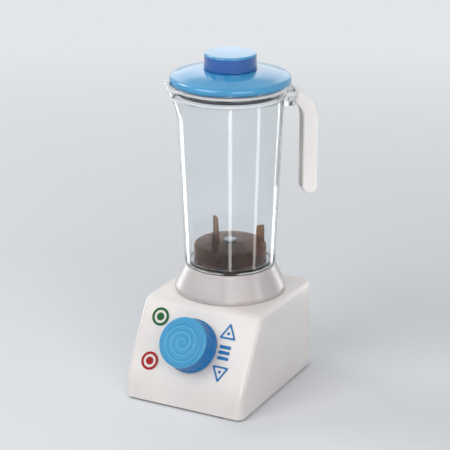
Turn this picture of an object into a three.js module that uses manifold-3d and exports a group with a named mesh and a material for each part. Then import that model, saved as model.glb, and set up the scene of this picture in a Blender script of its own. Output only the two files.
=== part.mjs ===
// Toy blender: a base with a turning knob, a clear jar with its spinning cup, and a lid.
// Millimetres. The front is -Y, up is +Z, the jar's axis is the Z axis.
// Z = 0 is the flat underside of the base plate.
import * as THREE from 'three';
import { mergeVertices } from 'three/addons/utils/BufferGeometryUtils.js';
import Module from 'manifold-3d';

const wasm = await Module();
wasm.setup();

// Clearances shared by all pieces
const gap = 0.3;
const overrun = 2;
const mould = 0.8;

// Base housing
const baseWidth = 112;
const baseFront = 88.5;
const baseBack = 53;
const baseHeight = 81.5;
const baseLift = 0.6;
const baseWall = 2.4;
const skirtHeight = 21;
const skirtDraft = 1;
const panelLeanShare = 0.595;
const creaseRadius = 6;
const frontEdgeRadius = 6;
const backEdgeRadius = 7;
const sideEdgeRadius = 4.5;
const frontCornerRadius = 6;
const backCornerRadius = 11;

// Base plate, feet and the screws that hold them
const plateThickness = 3;
const footRadius = 6.5;
const footHeight = 1.5;
const footRecess = 0.8;
const footSideInset = 14;
const footFrontInset = 12.5;
const footBackInset = 11;
const screwHeadRadius = 3.2;
const screwHeadHeight = 1.4;
const screwShankRadius = 1.4;
const screwLength = 11;
const screwSlotLength = 4.2;
const screwSlotWidth = 0.9;
const screwSlotDepth = 0.7;
const screwWeb = 1.3;
const postRadius = 4.2;
const postSideInset = 12;
const postFrontInset = 28.5;
const postBackInset = 26;
const bearingPostRadius = 7;
const bearingPostTop = 15;
const bearingFloor = 5.7;

// Knob, its shaft and what turns with it
const knobPlace = 34.5;
const knobHeight = 20.6;
const knobRearRadius = 23.6;
const knobFrontRadius = 21.8;
const knobEdge = 2;
const knobWall = 2.2;
const knobHubRadius = 8.4;
const knobFlutes = 18;
const fluteDepth = 0.9;
const spiralStart = 2.2;
const spiralEnd = 17.5;
const spiralTurns = 3;
const spiralGroove = 0.75;
const knobShaftRadius = 5;
const knobShaftSeat = 16;
const bossRadius = 9;
const bossClickRoom = 5;
const clipRadius = 8;
const clipThickness = 1.5;
const clickRadius = 11;
const clickTeeth = 12;
const clickDepth = 1.6;
const clickThickness = 4;
const clickBracketRoom = 15;
const springThickness = 0.8;
const springWidth = 8;
const springLegHeight = 7;

// Bevel gears between the knob shaft and the upright drive shaft
const knobGearTeeth = 18;
const driveGearTeeth = 12;
const gearModule = 1.75;
const gearInnerShare = 0.7;
const addendumShare = 0.7;
const dedendumShare = 1.0;
const toothRootShare = 0.3;
const toothTipShare = 0.14;
const gearHubRadius = 7.6;
const gearHubLength = 4;

// Bracket that carries the inner end of the knob shaft
const bracketGearRoom = 6.7;
const bracketThickness = 3;
const bracketWidth = 24;
const bracketTop = 19;
const bracketDrop = 40;
const bracketFootWidth = 46;
const bracketFootFront = 60;
const bracketFootBack = 41;
const bracketFootHeight = 2.4;
const bracketBossHeight = 9;
const bracketScrewSide = 17;
const bracketScrewFront = 54;

// Symbols on the panel
const buttonRadius = 8;
const buttonSideShare = 0.3215;
const buttonOffset = 19.5;
const buttonRing = 2.3;
const buttonDotRadius = 3.4;
const symbolRelief = 1.1;
const symbolGroove = 0.5;
const symbolPocket = 0.8;
const arrowSideShare = 0.2732;
const arrowInner = 11.8;
const arrowHeight = 14.2;
const arrowHalfWidth = 7.9;
const arrowBorder = 1.7;
const arrowDotRadius = 1.3;
const barWidth = 10.4;
const barHeight = 2.9;
const barPitch = 4.8;
const barRadius = 0.8;

// Collar on the base top
const collarHeight = 24;
const collarBottomRadius = 48;
const collarMargin = 0.4;
const collarDraft = 0.24;
const collarShoulder = 4;
const collarEdge = 2.2;
const collarWall = 2.2;
const socketWall = 3.4;
const socketFloor = 9.7;
const socketFloorThickness = 2.4;
const spigotRadius = 24;
const spigotWall = 2;
const spigotLength = 5;
const collarScrews = 3;
const collarScrewInset = 7.4;
const collarBossRadius = 2.9;
const collarBossDepth = 10.5;

// Upright drive shaft, its bush and its dog
const driveShaftRadius = 4;
const bushWall = 4;
const bushFlange = 2.2;
const bushFlangeHeight = 1.6;
const dogFlangeRadius = 11;
const dogFlangeHeight = 2;
const dogHexRadius = 6.2;
const dogTop = 19.4;
const dogBoreDepth = 5.5;
const hexSides = 6;

// Jar
const jarTurn = 40;
const jarBottomRadius = 39.4;
const jarTopRadius = 46.1;
const jarWall = 2.2;
const jarFloor = 2.5;
const jarBeadHeight = 149.5;
const jarBand = 9.7;
const jarBead = 2.2;
const jarLip = 1.4;
const jarLipHeight = 2.4;
const jarFootFillet = 2;
const neckRadius = 31;
const neckWall = 2.2;
const neckLength = 13.2;
const neckLugs = 4;
const lugWidth = 6;
const lugHeight = 8;
const lugReach = 1.8;
const spoutReach = 7.8;
const spoutRise = 5.2;
const spoutStart = 20;
const spoutHalfAngle = 28;
const spoutRiseShare = 0.8;
const spoutCurve = 1.3;

// Handle and its bracket on the jar
const handleStandoff = 29.3;
const handleDepth = 13.3;
const handleWidth = 17;
const handleEdge = 3;
const handleBend = 21;
const handleBendDrop = 32.5;
const handleTipRise = 62;
const handleWall = 2.2;
const handleHollowAngle = 52;
const bracketBlockWidth = 24;
const bracketBlockBottom = 20;
const bracketBlockTop = 5.2;
const bracketBlockDepth = 7.9;
const bracketBlockEdge = 1.5;
const tongueWidth = 12;
const tongueHeight = 8;
const tongueBottom = 17;
const tongueLength = 5;

// Spinning cup in the jar
const cupPlay = 5.7;
const cupHeight = 14.4;
const cupWall = 1.8;
const cupLift = 1.4;
const cupEdge = 2;
const cupHubRadius = 6.4;
const cupCrown = 2;
const finCount = 3;
const finInset = 1.9;
const finDepth = 7.6;
const finHeight = 17.5;
const finThickness = 2;
const finLeanShare = 0.1;
const finTurn = 27;
const bladeCount = 4;
const bladeInset = 5.5;
const bladeHeight = 9;
const bladeThickness = 1.8;
const bladeTipShare = 0.35;
const spindleRadius = 3;
const spindleHead = 5.2;
const spindleHeadHeight = 1.6;
const spindleBushWall = 2;
const spindleBushFlange = 2;
const spindleBushFlangeHeight = 0.8;
const couplingRadius = 12;
const couplingHeight = 8.6;
const couplingSocket = 6.4;
const couplingPlay = 0.5;

// Lid and its grip
const lidOverhang = 1.9;
const lidEdge = 7.6;
const lidRound = 4;
const lidRise = 12.3;
const lidWall = 2.3;
const gripSeat = 3.3;
const lidPlug = 7.4;
const lidPlugWall = 2.2;
const lidPlugPlay = 0.5;
const gripRadius = 22.5;
const gripHeight = 13.4;
const gripTaper = 0.4;
const gripEdge = 1.6;
const gripWall = 2.2;
const gripTongue = 4;

// Smoothness
const jarSides = 48;
const wideSides = 36;
const roundSides = 30;
const smallSides = 14;
const screwSides = 8;
const filletSteps = 2;
const bevelSteps = 2;
const arcSteps = 6;
const crownSteps = 4;
const spiralSteps = 14;
const grooveSteps = 3;

// Heights and places that follow from the sizes above
const halfTurn = Math.PI;
const fullTurn = 2 * Math.PI;
const degree = Math.PI / 180;
const up = new THREE.Vector3(0, 0, 1);
const across = new THREE.Vector3(1, 0, 0);
const fullLength = 2 * (baseFront + baseBack);
const footSide = baseWidth / 2 - footSideInset;
const footFront = baseFront - footFrontInset;
const footBack = baseBack - footBackInset;
const postSide = baseWidth / 2 - postSideInset;
const postFront = baseFront - postFrontInset;
const postBack = baseBack - postBackInset;
const buttonSide = baseWidth * buttonSideShare;
const arrowSide = baseWidth * arrowSideShare;
const knobLift = symbolRelief + gap;
const panelTop = baseFront - skirtDraft - (baseHeight - skirtHeight) * panelLeanShare;
const panelFoot = new THREE.Vector3(0, skirtDraft - baseFront, skirtHeight);
const panelHead = new THREE.Vector3(0, -panelTop, baseHeight);
const panelUp = panelHead.clone().sub(panelFoot).normalize();
const panelOut = new THREE.Vector3().crossVectors(across, panelUp);
const knobCentre = panelFoot.clone().addScaledVector(panelUp, knobPlace);
const panelFrame = new THREE.Matrix4().makeBasis(across, panelUp, panelOut).setPosition(knobCentre);
const apexDepth = knobCentre.y / panelOut.y;
const apexHeight = knobCentre.z - apexDepth * panelOut.z;
const shaftAngle = Math.acos(panelOut.z);
const gearRatio = knobGearTeeth / driveGearTeeth;
const driveCone = Math.atan(Math.sin(shaftAngle) / (gearRatio + Math.cos(shaftAngle)));
const knobCone = shaftAngle - driveCone;
const knobGearRadius = (knobGearTeeth * gearModule) / 2;
const driveGearRadius = (driveGearTeeth * gearModule) / 2;
const knobGearDistance = knobGearRadius / Math.tan(knobCone);
const driveGearDistance = driveGearRadius / Math.tan(driveCone);
const bracketRoom = knobGearDistance + gearHubLength + bracketGearRoom + bracketThickness;
const bracketPlace = apexDepth - bracketRoom;
const clickPlace = bracketPlace - clickBracketRoom;
const bossLength = clickPlace - bossClickRoom;
const collarTopRadius = jarBottomRadius + collarMargin;
const collarScrewRing = collarBottomRadius - collarScrewInset;
const collarFloor = baseHeight + socketFloor;
const collarTop = baseHeight + collarHeight;
const jarSeat = collarTop + gap;
const jarInside = jarSeat + jarFloor;
const jarBeadZ = jarSeat + jarBeadHeight;
const jarRim = jarBeadZ + jarBand;
const lidSeat = jarRim + gap;
const lidTop = lidSeat + lidRise;
const rimInner = jarTopRadius + jarBead - jarWall;
const rimOuter = jarTopRadius + jarBead;
const handleReach = jarTopRadius + handleStandoff;
const bracketBlockReach = jarTopRadius + bracketBlockDepth;
const cupRadius = jarBottomRadius - jarWall - cupPlay;
const finOuter = cupRadius - finInset;
const finInner = finOuter - finDepth;
const bladeReach = cupRadius - bladeInset;
const lidRadius = rimOuter + jarLip + lidOverhang;
const lidHole = gripRadius - gripSeat;

// Solids from closed meshes

function closedMesh(geometry) {
  const bare = geometry.clone();
  bare.deleteAttribute('normal');
  bare.deleteAttribute('uv');
  const merged = mergeVertices(bare);
  const index = merged.getIndex().array;
  const kept = [];
  for (let i = 0; i < index.length; i += 3) {
    const [a, b, c] = [index[i], index[i + 1], index[i + 2]];
    if (a !== b && b !== c && c !== a) kept.push(a, b, c);
  }
  return { places: merged.getAttribute('position').array, kept };
}

function signedVolume(places, index) {
  const [a, b, c] = [new THREE.Vector3(), new THREE.Vector3(), new THREE.Vector3()];
  let volume = 0;
  for (let i = 0; i < index.length; i += 3) {
    a.fromArray(places, 3 * index[i]);
    b.fromArray(places, 3 * index[i + 1]);
    c.fromArray(places, 3 * index[i + 2]);
    volume += a.dot(b.cross(c));
  }
  return volume;
}

function solidOf(geometry) {
  const { places, kept } = closedMesh(geometry);
  if (signedVolume(places, kept) < 0) kept.reverse();
  const mesh = new wasm.Mesh({
    numProp: 3,
    vertProperties: new Float32Array(places),
    triVerts: new Uint32Array(kept),
  });
  return new wasm.Manifold(mesh);
}

function geometryOf(solid) {
  const mesh = solid.getMesh();
  const geometry = new THREE.BufferGeometry();
  geometry.setAttribute('position', new THREE.BufferAttribute(new Float32Array(mesh.vertProperties), 3));
  geometry.setIndex(new THREE.BufferAttribute(new Uint32Array(mesh.triVerts), 1));
  return geometry;
}

function join(...pieces) {
  return geometryOf(pieces.map(solidOf).reduce((whole, piece) => whole.add(piece)));
}

function cut(piece, ...tools) {
  return geometryOf(tools.map(solidOf).reduce((rest, tool) => rest.subtract(tool), solidOf(piece)));
}

function common(first, second) {
  return geometryOf(solidOf(first).intersect(solidOf(second)));
}

// Outlines and basic forms

// An outline of corners [x, y, radius], each rounded by its own radius.
function roundedOutline(corners) {
  const shape = new THREE.Shape();
  corners.forEach(([x, y, radius], i) => {
    const corner = new THREE.Vector2(x, y);
    const before = new THREE.Vector2(...corners[(i + corners.length - 1) % corners.length]);
    const after = new THREE.Vector2(...corners[(i + 1) % corners.length]);
    const start = corner.clone().add(before.sub(corner).setLength(radius));
    const end = corner.clone().add(after.sub(corner).setLength(radius));
    if (i === 0) shape.moveTo(start.x, start.y);
    else shape.lineTo(start.x, start.y);
    if (radius > 0) shape.quadraticCurveTo(corner.x, corner.y, end.x, end.y);
  });
  shape.closePath();
  return shape;
}

// The same outline moved inwards by one distance, for a wall of even thickness.
function insetCorners(corners, distance) {
  return corners.map(([x, y, radius], i) => {
    const corner = new THREE.Vector2(x, y);
    const before = new THREE.Vector2(...corners[(i + corners.length - 1) % corners.length]);
    const after = new THREE.Vector2(...corners[(i + 1) % corners.length]);
    const along = corner.clone().sub(before).normalize();
    const next = after.sub(corner).normalize();
    const inwards = new THREE.Vector2(-along.y - next.y, along.x + next.x).normalize();
    const stretch = distance / Math.max(inwards.dot(new THREE.Vector2(-along.y, along.x)), Number.EPSILON);
    corner.addScaledVector(inwards, stretch);
    return [corner.x, corner.y, Math.max(radius - distance, 0)];
  });
}

function arc(x, y, radius, from, to) {
  return Array.from({ length: arcSteps + 1 }, (_, i) => {
    const angle = from + ((to - from) * i) / arcSteps;
    return new THREE.Vector2(x + radius * Math.cos(angle), y + radius * Math.sin(angle));
  });
}

function prism(shape, height, steps = filletSteps) {
  return new THREE.ExtrudeGeometry(shape, { depth: height, bevelEnabled: false, curveSegments: steps });
}

function block(width, depth, height) {
  return new THREE.BoxGeometry(width, depth, height).translate(0, 0, height / 2);
}

function rod(radius, height, sides = smallSides) {
  const cylinder = new THREE.CylinderGeometry(radius, radius, height, sides);
  return cylinder.rotateX(halfTurn / 2).translate(0, 0, height / 2);
}

// A turned solid from a profile of [radius, height] pairs, which may run either way round.
function turned(profile, sides = roundSides) {
  const points = profile.map(([radius, height]) => new THREE.Vector2(radius, height));
  if (THREE.ShapeUtils.isClockWise(points)) points.reverse();
  return new THREE.LatheGeometry(points, sides).rotateX(halfTurn / 2);
}

function ring(outer, inner, bottom, top, sides = smallSides) {
  return turned([[inner, bottom], [outer, bottom], [outer, top], [inner, top], [inner, bottom]], sides);
}

function piece(name, geometry, finish) {
  const mesh = new THREE.Mesh(geometry, finish());
  mesh.name = name;
  return mesh;
}

// Finishes

function finishOf(color, roughness, metalness = 0, opacity = 1) {
  return () => new THREE.MeshStandardMaterial({
    color, roughness, metalness, opacity, transparent: opacity < 1,
  });
}

const whitePlastic = finishOf(0xe8e3e1, 0.35);
const collarPlastic = finishOf(0xd9d2d1, 0.32);
const bluePlastic = finishOf(0x3f9bd2, 0.35);
const lidPlastic = finishOf(0x4a97d6, 0.25);
const clearPlastic = finishOf(0xdcecf4, 0.08, 0, 0.3);
const smokyPlastic = finishOf(0x6a5d55, 0.15, 0, 0.6);
const darkPlastic = finishOf(0x2b2725, 0.4);
const innerPlastic = finishOf(0xc9c4b8, 0.5);
const steel = finishOf(0x9a9da1, 0.35, 1);
const rubber = finishOf(0x2a2a2c, 0.8);
const greenInk = finishOf(0x1f8a45, 0.4);
const redInk = finishOf(0xc0202c, 0.4);
const symbolInk = finishOf(0x2f7fc4, 0.4);

// Base housing

function sideCorners() {
  return [
    [-baseFront, baseLift, 0],
    [baseBack, baseLift, 0],
    [baseBack, baseHeight, backEdgeRadius],
    [-panelTop, baseHeight, frontEdgeRadius],
    [skirtDraft - baseFront, skirtHeight, creaseRadius],
  ];
}

function planCorners() {
  const half = baseWidth / 2;
  return [
    [-half, -baseFront, frontCornerRadius],
    [half, -baseFront, frontCornerRadius],
    [half, baseBack, backCornerRadius],
    [-half, baseBack, backCornerRadius],
  ];
}

// The housing's outer form, or with an inset the form of its hollow.
function housingForm(inset, bottom) {
  const corners = insetCorners(sideCorners(), inset);
  corners[0][1] = bottom;
  corners[1][1] = bottom;
  const edge = sideEdgeRadius - inset / 2;
  const side = new THREE.ExtrudeGeometry(roundedOutline(corners), {
    depth: baseWidth - 2 * (inset + edge),
    curveSegments: filletSteps,
    bevelThickness: edge,
    bevelSize: edge,
    bevelOffset: -edge,
    bevelSegments: bevelSteps,
  });
  side.translate(0, 0, edge + inset - baseWidth / 2);
  side.rotateX(halfTurn / 2).rotateZ(halfTurn / 2);
  const plan = prism(roundedOutline(insetCorners(planCorners(), inset)), baseHeight - bottom);
  return common(side, plan.translate(0, 0, bottom + edge));
}

function housingHollow() {
  return housingForm(baseWall, -sideEdgeRadius - overrun);
}

function baseScrewPlaces() {
  return [
    [-postSide, -postFront],
    [postSide, -postFront],
    [postSide, postBack],
    [-postSide, postBack],
  ];
}

function collarScrewPlaces() {
  return Array.from({ length: collarScrews }, (_, i) => {
    const angle = halfTurn / 2 + (i * fullTurn) / collarScrews;
    return [collarScrewRing * Math.cos(angle), collarScrewRing * Math.sin(angle)];
  });
}

function symbolPlaces() {
  return {
    go: [-buttonSide, buttonOffset],
    stop: [-buttonSide, -buttonOffset],
    up: [arrowSide, arrowInner],
    down: [arrowSide, -arrowInner],
    bars: [-1, 0, 1].map((step) => [arrowSide, step * barPitch]),
  };
}

function panelPockets() {
  const places = symbolPlaces();
  const depth = symbolPocket + overrun;
  const round = [places.go, places.stop].map(([x, y]) => (
    rod(buttonRadius + gap, depth, roundSides).translate(x, y, -symbolPocket)));
  const arrows = [1, -1].map((sense) => (
    prism(arrowShape(sense, -gap), depth).translate(arrowSide, 0, -symbolPocket)));
  const bars = places.bars.map(([x, y]) => prism(barShape(gap), depth).translate(x, y, -symbolPocket));
  return [...round, ...arrows, ...bars].map((pocket) => pocket.applyMatrix4(panelFrame));
}

function baseHousing() {
  const outer = housingForm(0, baseLift - sideEdgeRadius);
  const trimmed = cut(outer, block(baseWidth + overrun, fullLength, sideEdgeRadius + overrun)
    .translate(0, 0, baseLift - sideEdgeRadius - overrun));
  const shell = cut(trimmed, housingHollow());
  const postBottom = plateThickness + gap;
  const posts = baseScrewPlaces().map(([x, y]) => rod(postRadius, baseHeight).translate(x, y, postBottom));
  const boss = rod(bossRadius, bossLength, roundSides).translate(0, 0, -bossLength).applyMatrix4(panelFrame);
  const body = join(shell, ...[...posts, boss].map((form) => common(form, trimmed)));
  const pilots = baseScrewPlaces().map(([x, y]) => (
    rod(screwShankRadius + gap, screwLength, screwSides).translate(x, y, postBottom - overrun)));
  const shaftHole = rod(knobShaftRadius + gap, bossLength + 2 * overrun)
    .translate(0, 0, -bossLength - overrun).applyMatrix4(panelFrame);
  const roofHole = rod(spigotRadius + gap, 2 * (baseWall + overrun), roundSides)
    .translate(0, 0, baseHeight - baseWall - overrun);
  const screwHoles = collarScrewPlaces().map(([x, y]) => (
    rod(screwShankRadius + gap, baseWall + 2 * overrun, screwSides)
      .translate(x, y, baseHeight - baseWall - overrun)));
  return cut(body, shaftHole, roofHole, ...pilots, ...screwHoles, ...panelPockets());
}

// Base plate, feet and screws

function bracketScrewPlaces() {
  return [
    [-bracketScrewSide, -bracketScrewFront],
    [bracketScrewSide, -bracketScrewFront],
  ];
}

function footPlaces() {
  return [
    [-footSide, -footFront],
    [footSide, -footFront],
    [footSide, footBack],
    [-footSide, footBack],
  ];
}

function basePlate() {
  const plan = roundedOutline(insetCorners(planCorners(), baseWall + gap + skirtDraft));
  const plate = prism(plan, plateThickness);
  const post = rod(bearingPostRadius, bearingPostTop, roundSides);
  const bore = rod(driveShaftRadius + gap, bearingPostTop).translate(0, 0, bearingFloor);
  const screwPlaces = [...baseScrewPlaces(), ...bracketScrewPlaces()];
  const holes = screwPlaces.map(([x, y]) => (
    rod(screwShankRadius + gap, plateThickness + 2 * overrun, screwSides).translate(x, y, -overrun)));
  const wells = screwPlaces.map(([x, y]) => (
    rod(screwHeadRadius + gap, plateThickness - screwWeb + overrun, screwSides).translate(x, y, -overrun)));
  const recesses = footPlaces().map(([x, y]) => (
    rod(footRadius + gap, footRecess + overrun).translate(x, y, -overrun)));
  return cut(join(plate, post), bore, ...holes, ...wells, ...recesses);
}

// A screw that points up, with the outer face of its head at Z = 0.
function screw() {
  const body = turned([
    [0, 0],
    [screwHeadRadius - screwHeadHeight / 2, 0],
    [screwHeadRadius, screwHeadHeight / 2],
    [screwHeadRadius, screwHeadHeight],
    [screwShankRadius, screwHeadHeight],
    [screwShankRadius, screwLength - screwShankRadius],
    [0, screwLength],
  ], screwSides);
  const slots = [0, halfTurn / 2].map((turn) => (
    block(screwSlotLength, screwSlotWidth, screwSlotDepth + overrun)
      .rotateZ(turn).translate(0, 0, -overrun)));
  return cut(body, ...slots);
}

function plateScrewBottom() {
  return plateThickness - screwWeb - gap - screwHeadHeight;
}

function screwSet(name, places, bottom) {
  return places.map(([x, y], i) => piece(`${name}_${i + 1}`, screw().translate(x, y, bottom), steel));
}

function feet() {
  const pad = turned([
    [0, -footHeight],
    [footRadius - mould, -footHeight],
    [footRadius, mould - footHeight],
    [footRadius, footRecess - gap],
    [0, footRecess - gap],
  ], smallSides);
  return footPlaces().map(([x, y], i) => piece(`foot_${i + 1}`, pad.clone().translate(x, y, 0), rubber));
}

// Panel symbols, made on the panel with X across it, Y up it and Z out of it

function arrowShape(sense, inset) {
  const corners = [
    [-arrowHalfWidth, sense * arrowInner, 0],
    [arrowHalfWidth, sense * arrowInner, 0],
    [0, sense * (arrowInner + arrowHeight), 0],
  ];
  if (sense < 0) corners.reverse();
  return roundedOutline(insetCorners(corners, inset));
}

function barShape(grow) {
  const [halfWidth, halfHeight] = [barWidth / 2 + grow, barHeight / 2 + grow];
  return roundedOutline([
    [-halfWidth, -halfHeight, barRadius],
    [halfWidth, -halfHeight, barRadius],
    [halfWidth, halfHeight, barRadius],
    [-halfWidth, halfHeight, barRadius],
  ]);
}

function symbolBottom() {
  return gap - symbolPocket;
}

function arrow(sense) {
  const thickness = symbolRelief - symbolBottom();
  const plate = prism(arrowShape(sense, 0), thickness).translate(0, 0, symbolBottom());
  const window = prism(arrowShape(sense, arrowBorder), symbolGroove + overrun)
    .translate(0, 0, symbolRelief - symbolGroove);
  const dot = rod(arrowDotRadius, thickness, screwSides)
    .translate(0, sense * (arrowInner + arrowHeight / 3), symbolBottom());
  return join(cut(plate, window), dot).translate(arrowSide, 0, 0);
}

function button([x, y]) {
  const bottom = symbolBottom();
  const low = symbolRelief - symbolGroove;
  return turned([
    [0, bottom],
    [buttonRadius, bottom],
    [buttonRadius, symbolRelief - symbolGroove / 2],
    [buttonRadius - symbolGroove / 2, symbolRelief],
    [buttonRadius - buttonRing, symbolRelief],
    [buttonRadius - buttonRing, low],
    [buttonDotRadius, low],
    [buttonDotRadius, symbolRelief],
    [0, symbolRelief],
  ], roundSides).translate(x, y, 0);
}

function panelSymbols() {
  const places = symbolPlaces();
  const group = new THREE.Group();
  group.applyMatrix4(panelFrame);
  group.add(piece('go_button', button(places.go), greenInk));
  group.add(piece('stop_button', button(places.stop), redInk));
  group.add(piece('up_arrow', arrow(1), symbolInk));
  group.add(piece('down_arrow', arrow(-1), symbolInk));
  places.bars.forEach(([x, y], i) => {
    const bar = prism(barShape(0), symbolRelief - symbolBottom()).translate(x, y, symbolBottom());
    group.add(piece(`speed_bar_${i + 1}`, bar, symbolInk));
  });
  return group;
}

// Collar

function collar() {
  const bottom = baseHeight + gap;
  const socket = neckRadius + 2 * gap;
  const shoulderZ = bottom + collarShoulder;
  const neckZ = collarTop - collarEdge;
  const innerTop = collarTop - collarWall - mould;
  const outer = turned([
    [spigotRadius - spigotWall, baseHeight - spigotLength],
    [spigotRadius, baseHeight - spigotLength],
    [spigotRadius, collarFloor - socketFloorThickness],
    [socket + socketWall, collarFloor - socketFloorThickness],
    [socket + socketWall, innerTop],
    [collarTopRadius - collarWall, innerTop],
    [collarBottomRadius - collarWall - 2 * collarDraft, shoulderZ],
    [collarBottomRadius - collarWall, bottom],
    [collarBottomRadius, bottom],
    [collarBottomRadius - collarDraft, shoulderZ],
    [collarTopRadius, neckZ],
    [collarTopRadius - collarEdge / 3, collarTop - collarEdge / 3],
    [collarTopRadius - collarEdge, collarTop],
    [socket + mould, collarTop],
    [socket, collarTop - mould],
    [socket, collarFloor],
    [driveShaftRadius + gap + bushWall + gap, collarFloor],
    [driveShaftRadius + gap + bushWall + gap, collarFloor - socketFloorThickness],
    [spigotRadius - spigotWall, collarFloor - socketFloorThickness],
    [spigotRadius - spigotWall, baseHeight - spigotLength],
  ], wideSides);
  const bosses = collarScrewPlaces().map(([x, y]) => (
    rod(collarBossRadius, collarBossDepth).translate(x, y, bottom)));
  const pilots = collarScrewPlaces().map(([x, y]) => (
    rod(screwShankRadius + gap, collarBossDepth, screwSides).translate(x, y, bottom - collarWall)));
  const slotReach = neckRadius + lugReach + gap;
  const slots = neckLugPlaces().map((angle) => (
    block(slotReach, lugWidth + 2 * gap, collarHeight)
      .translate(slotReach / 2, 0, collarFloor + overrun).rotateZ(angle)));
  const slotted = cut(outer, ...slots.map((slot) => cut(slot, rod(socket - mould, fullLength))));
  return cut(join(slotted, ...bosses), ...pilots);
}

function neckLugPlaces() {
  return Array.from({ length: neckLugs }, (_, i) => jarTurn * degree + ((i + 0.5) * fullTurn) / neckLugs);
}

function collarScrewBottom() {
  return baseHeight - baseWall - gap - screwHeadHeight;
}

// Knob and its train, made on the panel's frame with Z out of the panel

function fluted(geometry) {
  const place = geometry.getAttribute('position');
  for (let i = 0; i < place.count; i += 1) {
    const [x, y, z] = [place.getX(i), place.getY(i), place.getZ(i)];
    const radius = Math.hypot(x, y);
    const onSide = radius > knobFrontRadius - knobEdge / 2 && z > knobLift + knobEdge && z < knobHeight;
    if (onSide) {
      const wave = (1 - Math.cos(knobFlutes * Math.atan2(y, x))) / 2;
      const share = (radius - fluteDepth * wave) / radius;
      place.setXY(i, x * share, y * share);
    }
  }
  return geometry;
}

class Spiral extends THREE.Curve {
  getPoint(share, target = new THREE.Vector3()) {
    const radius = spiralStart + (spiralEnd - spiralStart) * share;
    const angle = spiralTurns * fullTurn * share;
    return target.set(radius * Math.cos(angle), radius * Math.sin(angle), knobLift + knobHeight);
  }
}

function spiralCutter() {
  const section = new THREE.Shape().absarc(0, 0, spiralGroove, 0, fullTurn);
  return new THREE.ExtrudeGeometry(section, {
    steps: spiralTurns * spiralSteps,
    curveSegments: grooveSteps,
    extrudePath: new Spiral(),
  });
}

function knob() {
  const top = knobLift + knobHeight;
  const ceiling = top - knobWall;
  const bore = knobShaftRadius + gap;
  const skirt = knobLift + 2 * knobEdge;
  const body = turned([
    [0, knobShaftSeat + gap],
    [bore, knobShaftSeat + gap],
    [bore, gap],
    [knobHubRadius, gap],
    [knobHubRadius, ceiling],
    [knobFrontRadius - knobEdge - knobWall, ceiling],
    [knobFrontRadius - knobWall, ceiling - knobEdge],
    [knobRearRadius - knobWall, knobLift],
    [knobRearRadius, knobLift],
    [knobRearRadius, skirt - knobEdge / 2],
    [knobRearRadius - (knobRearRadius - knobFrontRadius) / 3, skirt + knobEdge / 2],
    [knobFrontRadius, top - knobEdge],
    [knobFrontRadius - knobEdge / 3, top - knobEdge / 3],
    [knobFrontRadius - knobEdge, top],
    [0, top],
  ], knobFlutes * filletSteps);
  return cut(fluted(body), spiralCutter());
}

function knobShaftEnd() {
  return gearInnerShare * knobGearDistance - apexDepth - gap;
}

function knobShaft() {
  const bottom = knobShaftEnd();
  return turned([
    [0, bottom],
    [knobShaftRadius - mould, bottom],
    [knobShaftRadius, bottom + mould],
    [knobShaftRadius, knobShaftSeat - mould],
    [knobShaftRadius - mould, knobShaftSeat],
    [0, knobShaftSeat],
  ], smallSides);
}

// One bevel gear with its cone's point at the origin and its axis along Z.
function bevelGear(teeth, pitchRadius, distance, boreRadius, turn) {
  const pitch = fullTurn / teeth;
  const root = pitchRadius - dedendumShare * gearModule;
  const tip = pitchRadius + addendumShare * gearModule;
  const [wide, narrow] = [toothRootShare, toothTipShare];
  const flank = [[root, -wide], [tip, -narrow], [tip, narrow], [root, wide]];
  const outline = [];
  for (let tooth = 0; tooth < teeth; tooth += 1) {
    flank.forEach(([radius, share]) => {
      const angle = turn + (tooth + share) * pitch;
      outline.push(new THREE.Vector2(radius * Math.cos(angle), radius * Math.sin(angle)));
    });
  }
  const toothed = tapered(outline, gearInnerShare * distance, distance, gearInnerShare);
  const hub = rod(gearHubRadius, gearHubLength + mould).translate(0, 0, distance - mould);
  const bore = rod(boreRadius, distance + gearHubLength + overrun);
  return cut(join(toothed, hub), bore);
}

// A solid between two alike outlines, the lower one drawn in by a share.
function tapered(outline, bottom, top, lowerShare) {
  const count = outline.length;
  const places = [];
  outline.forEach((point) => places.push(point.x * lowerShare, point.y * lowerShare, bottom));
  outline.forEach((point) => places.push(point.x, point.y, top));
  const index = [];
  for (let i = 0; i < count; i += 1) {
    const next = (i + 1) % count;
    index.push(i, next, count + next, i, count + next, count + i);
  }
  THREE.ShapeUtils.triangulateShape(outline, []).forEach(([a, b, c]) => {
    index.push(c, b, a, count + a, count + b, count + c);
  });
  const geometry = new THREE.BufferGeometry();
  geometry.setAttribute('position', new THREE.Float32BufferAttribute(places, 3));
  geometry.setIndex(index);
  return geometry;
}

function clickWheel() {
  const points = [];
  const steps = clickTeeth * filletSteps;
  for (let i = 0; i < steps; i += 1) {
    const angle = (i * fullTurn) / steps;
    const radius = clickRadius - (clickDepth * (1 - Math.cos(clickTeeth * angle))) / 2;
    points.push(new THREE.Vector2(radius * Math.cos(angle), radius * Math.sin(angle)));
  }
  const wheel = prism(new THREE.Shape(points), clickThickness);
  const bore = rod(knobShaftRadius + gap, clickThickness + 2 * overrun).translate(0, 0, -overrun);
  return cut(wheel, bore).translate(0, 0, -clickPlace - clickThickness);
}

function clickSpring() {
  const bottom = clickRadius + gap;
  const leg = block(springWidth, springLegHeight, springThickness)
    .translate(0, bottom + springLegHeight / 2, gap - bracketPlace);
  const arm = block(springWidth, springThickness, bracketPlace - clickPlace - gap)
    .translate(0, bottom + springThickness / 2, gap - bracketPlace);
  return join(leg, arm);
}

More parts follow.
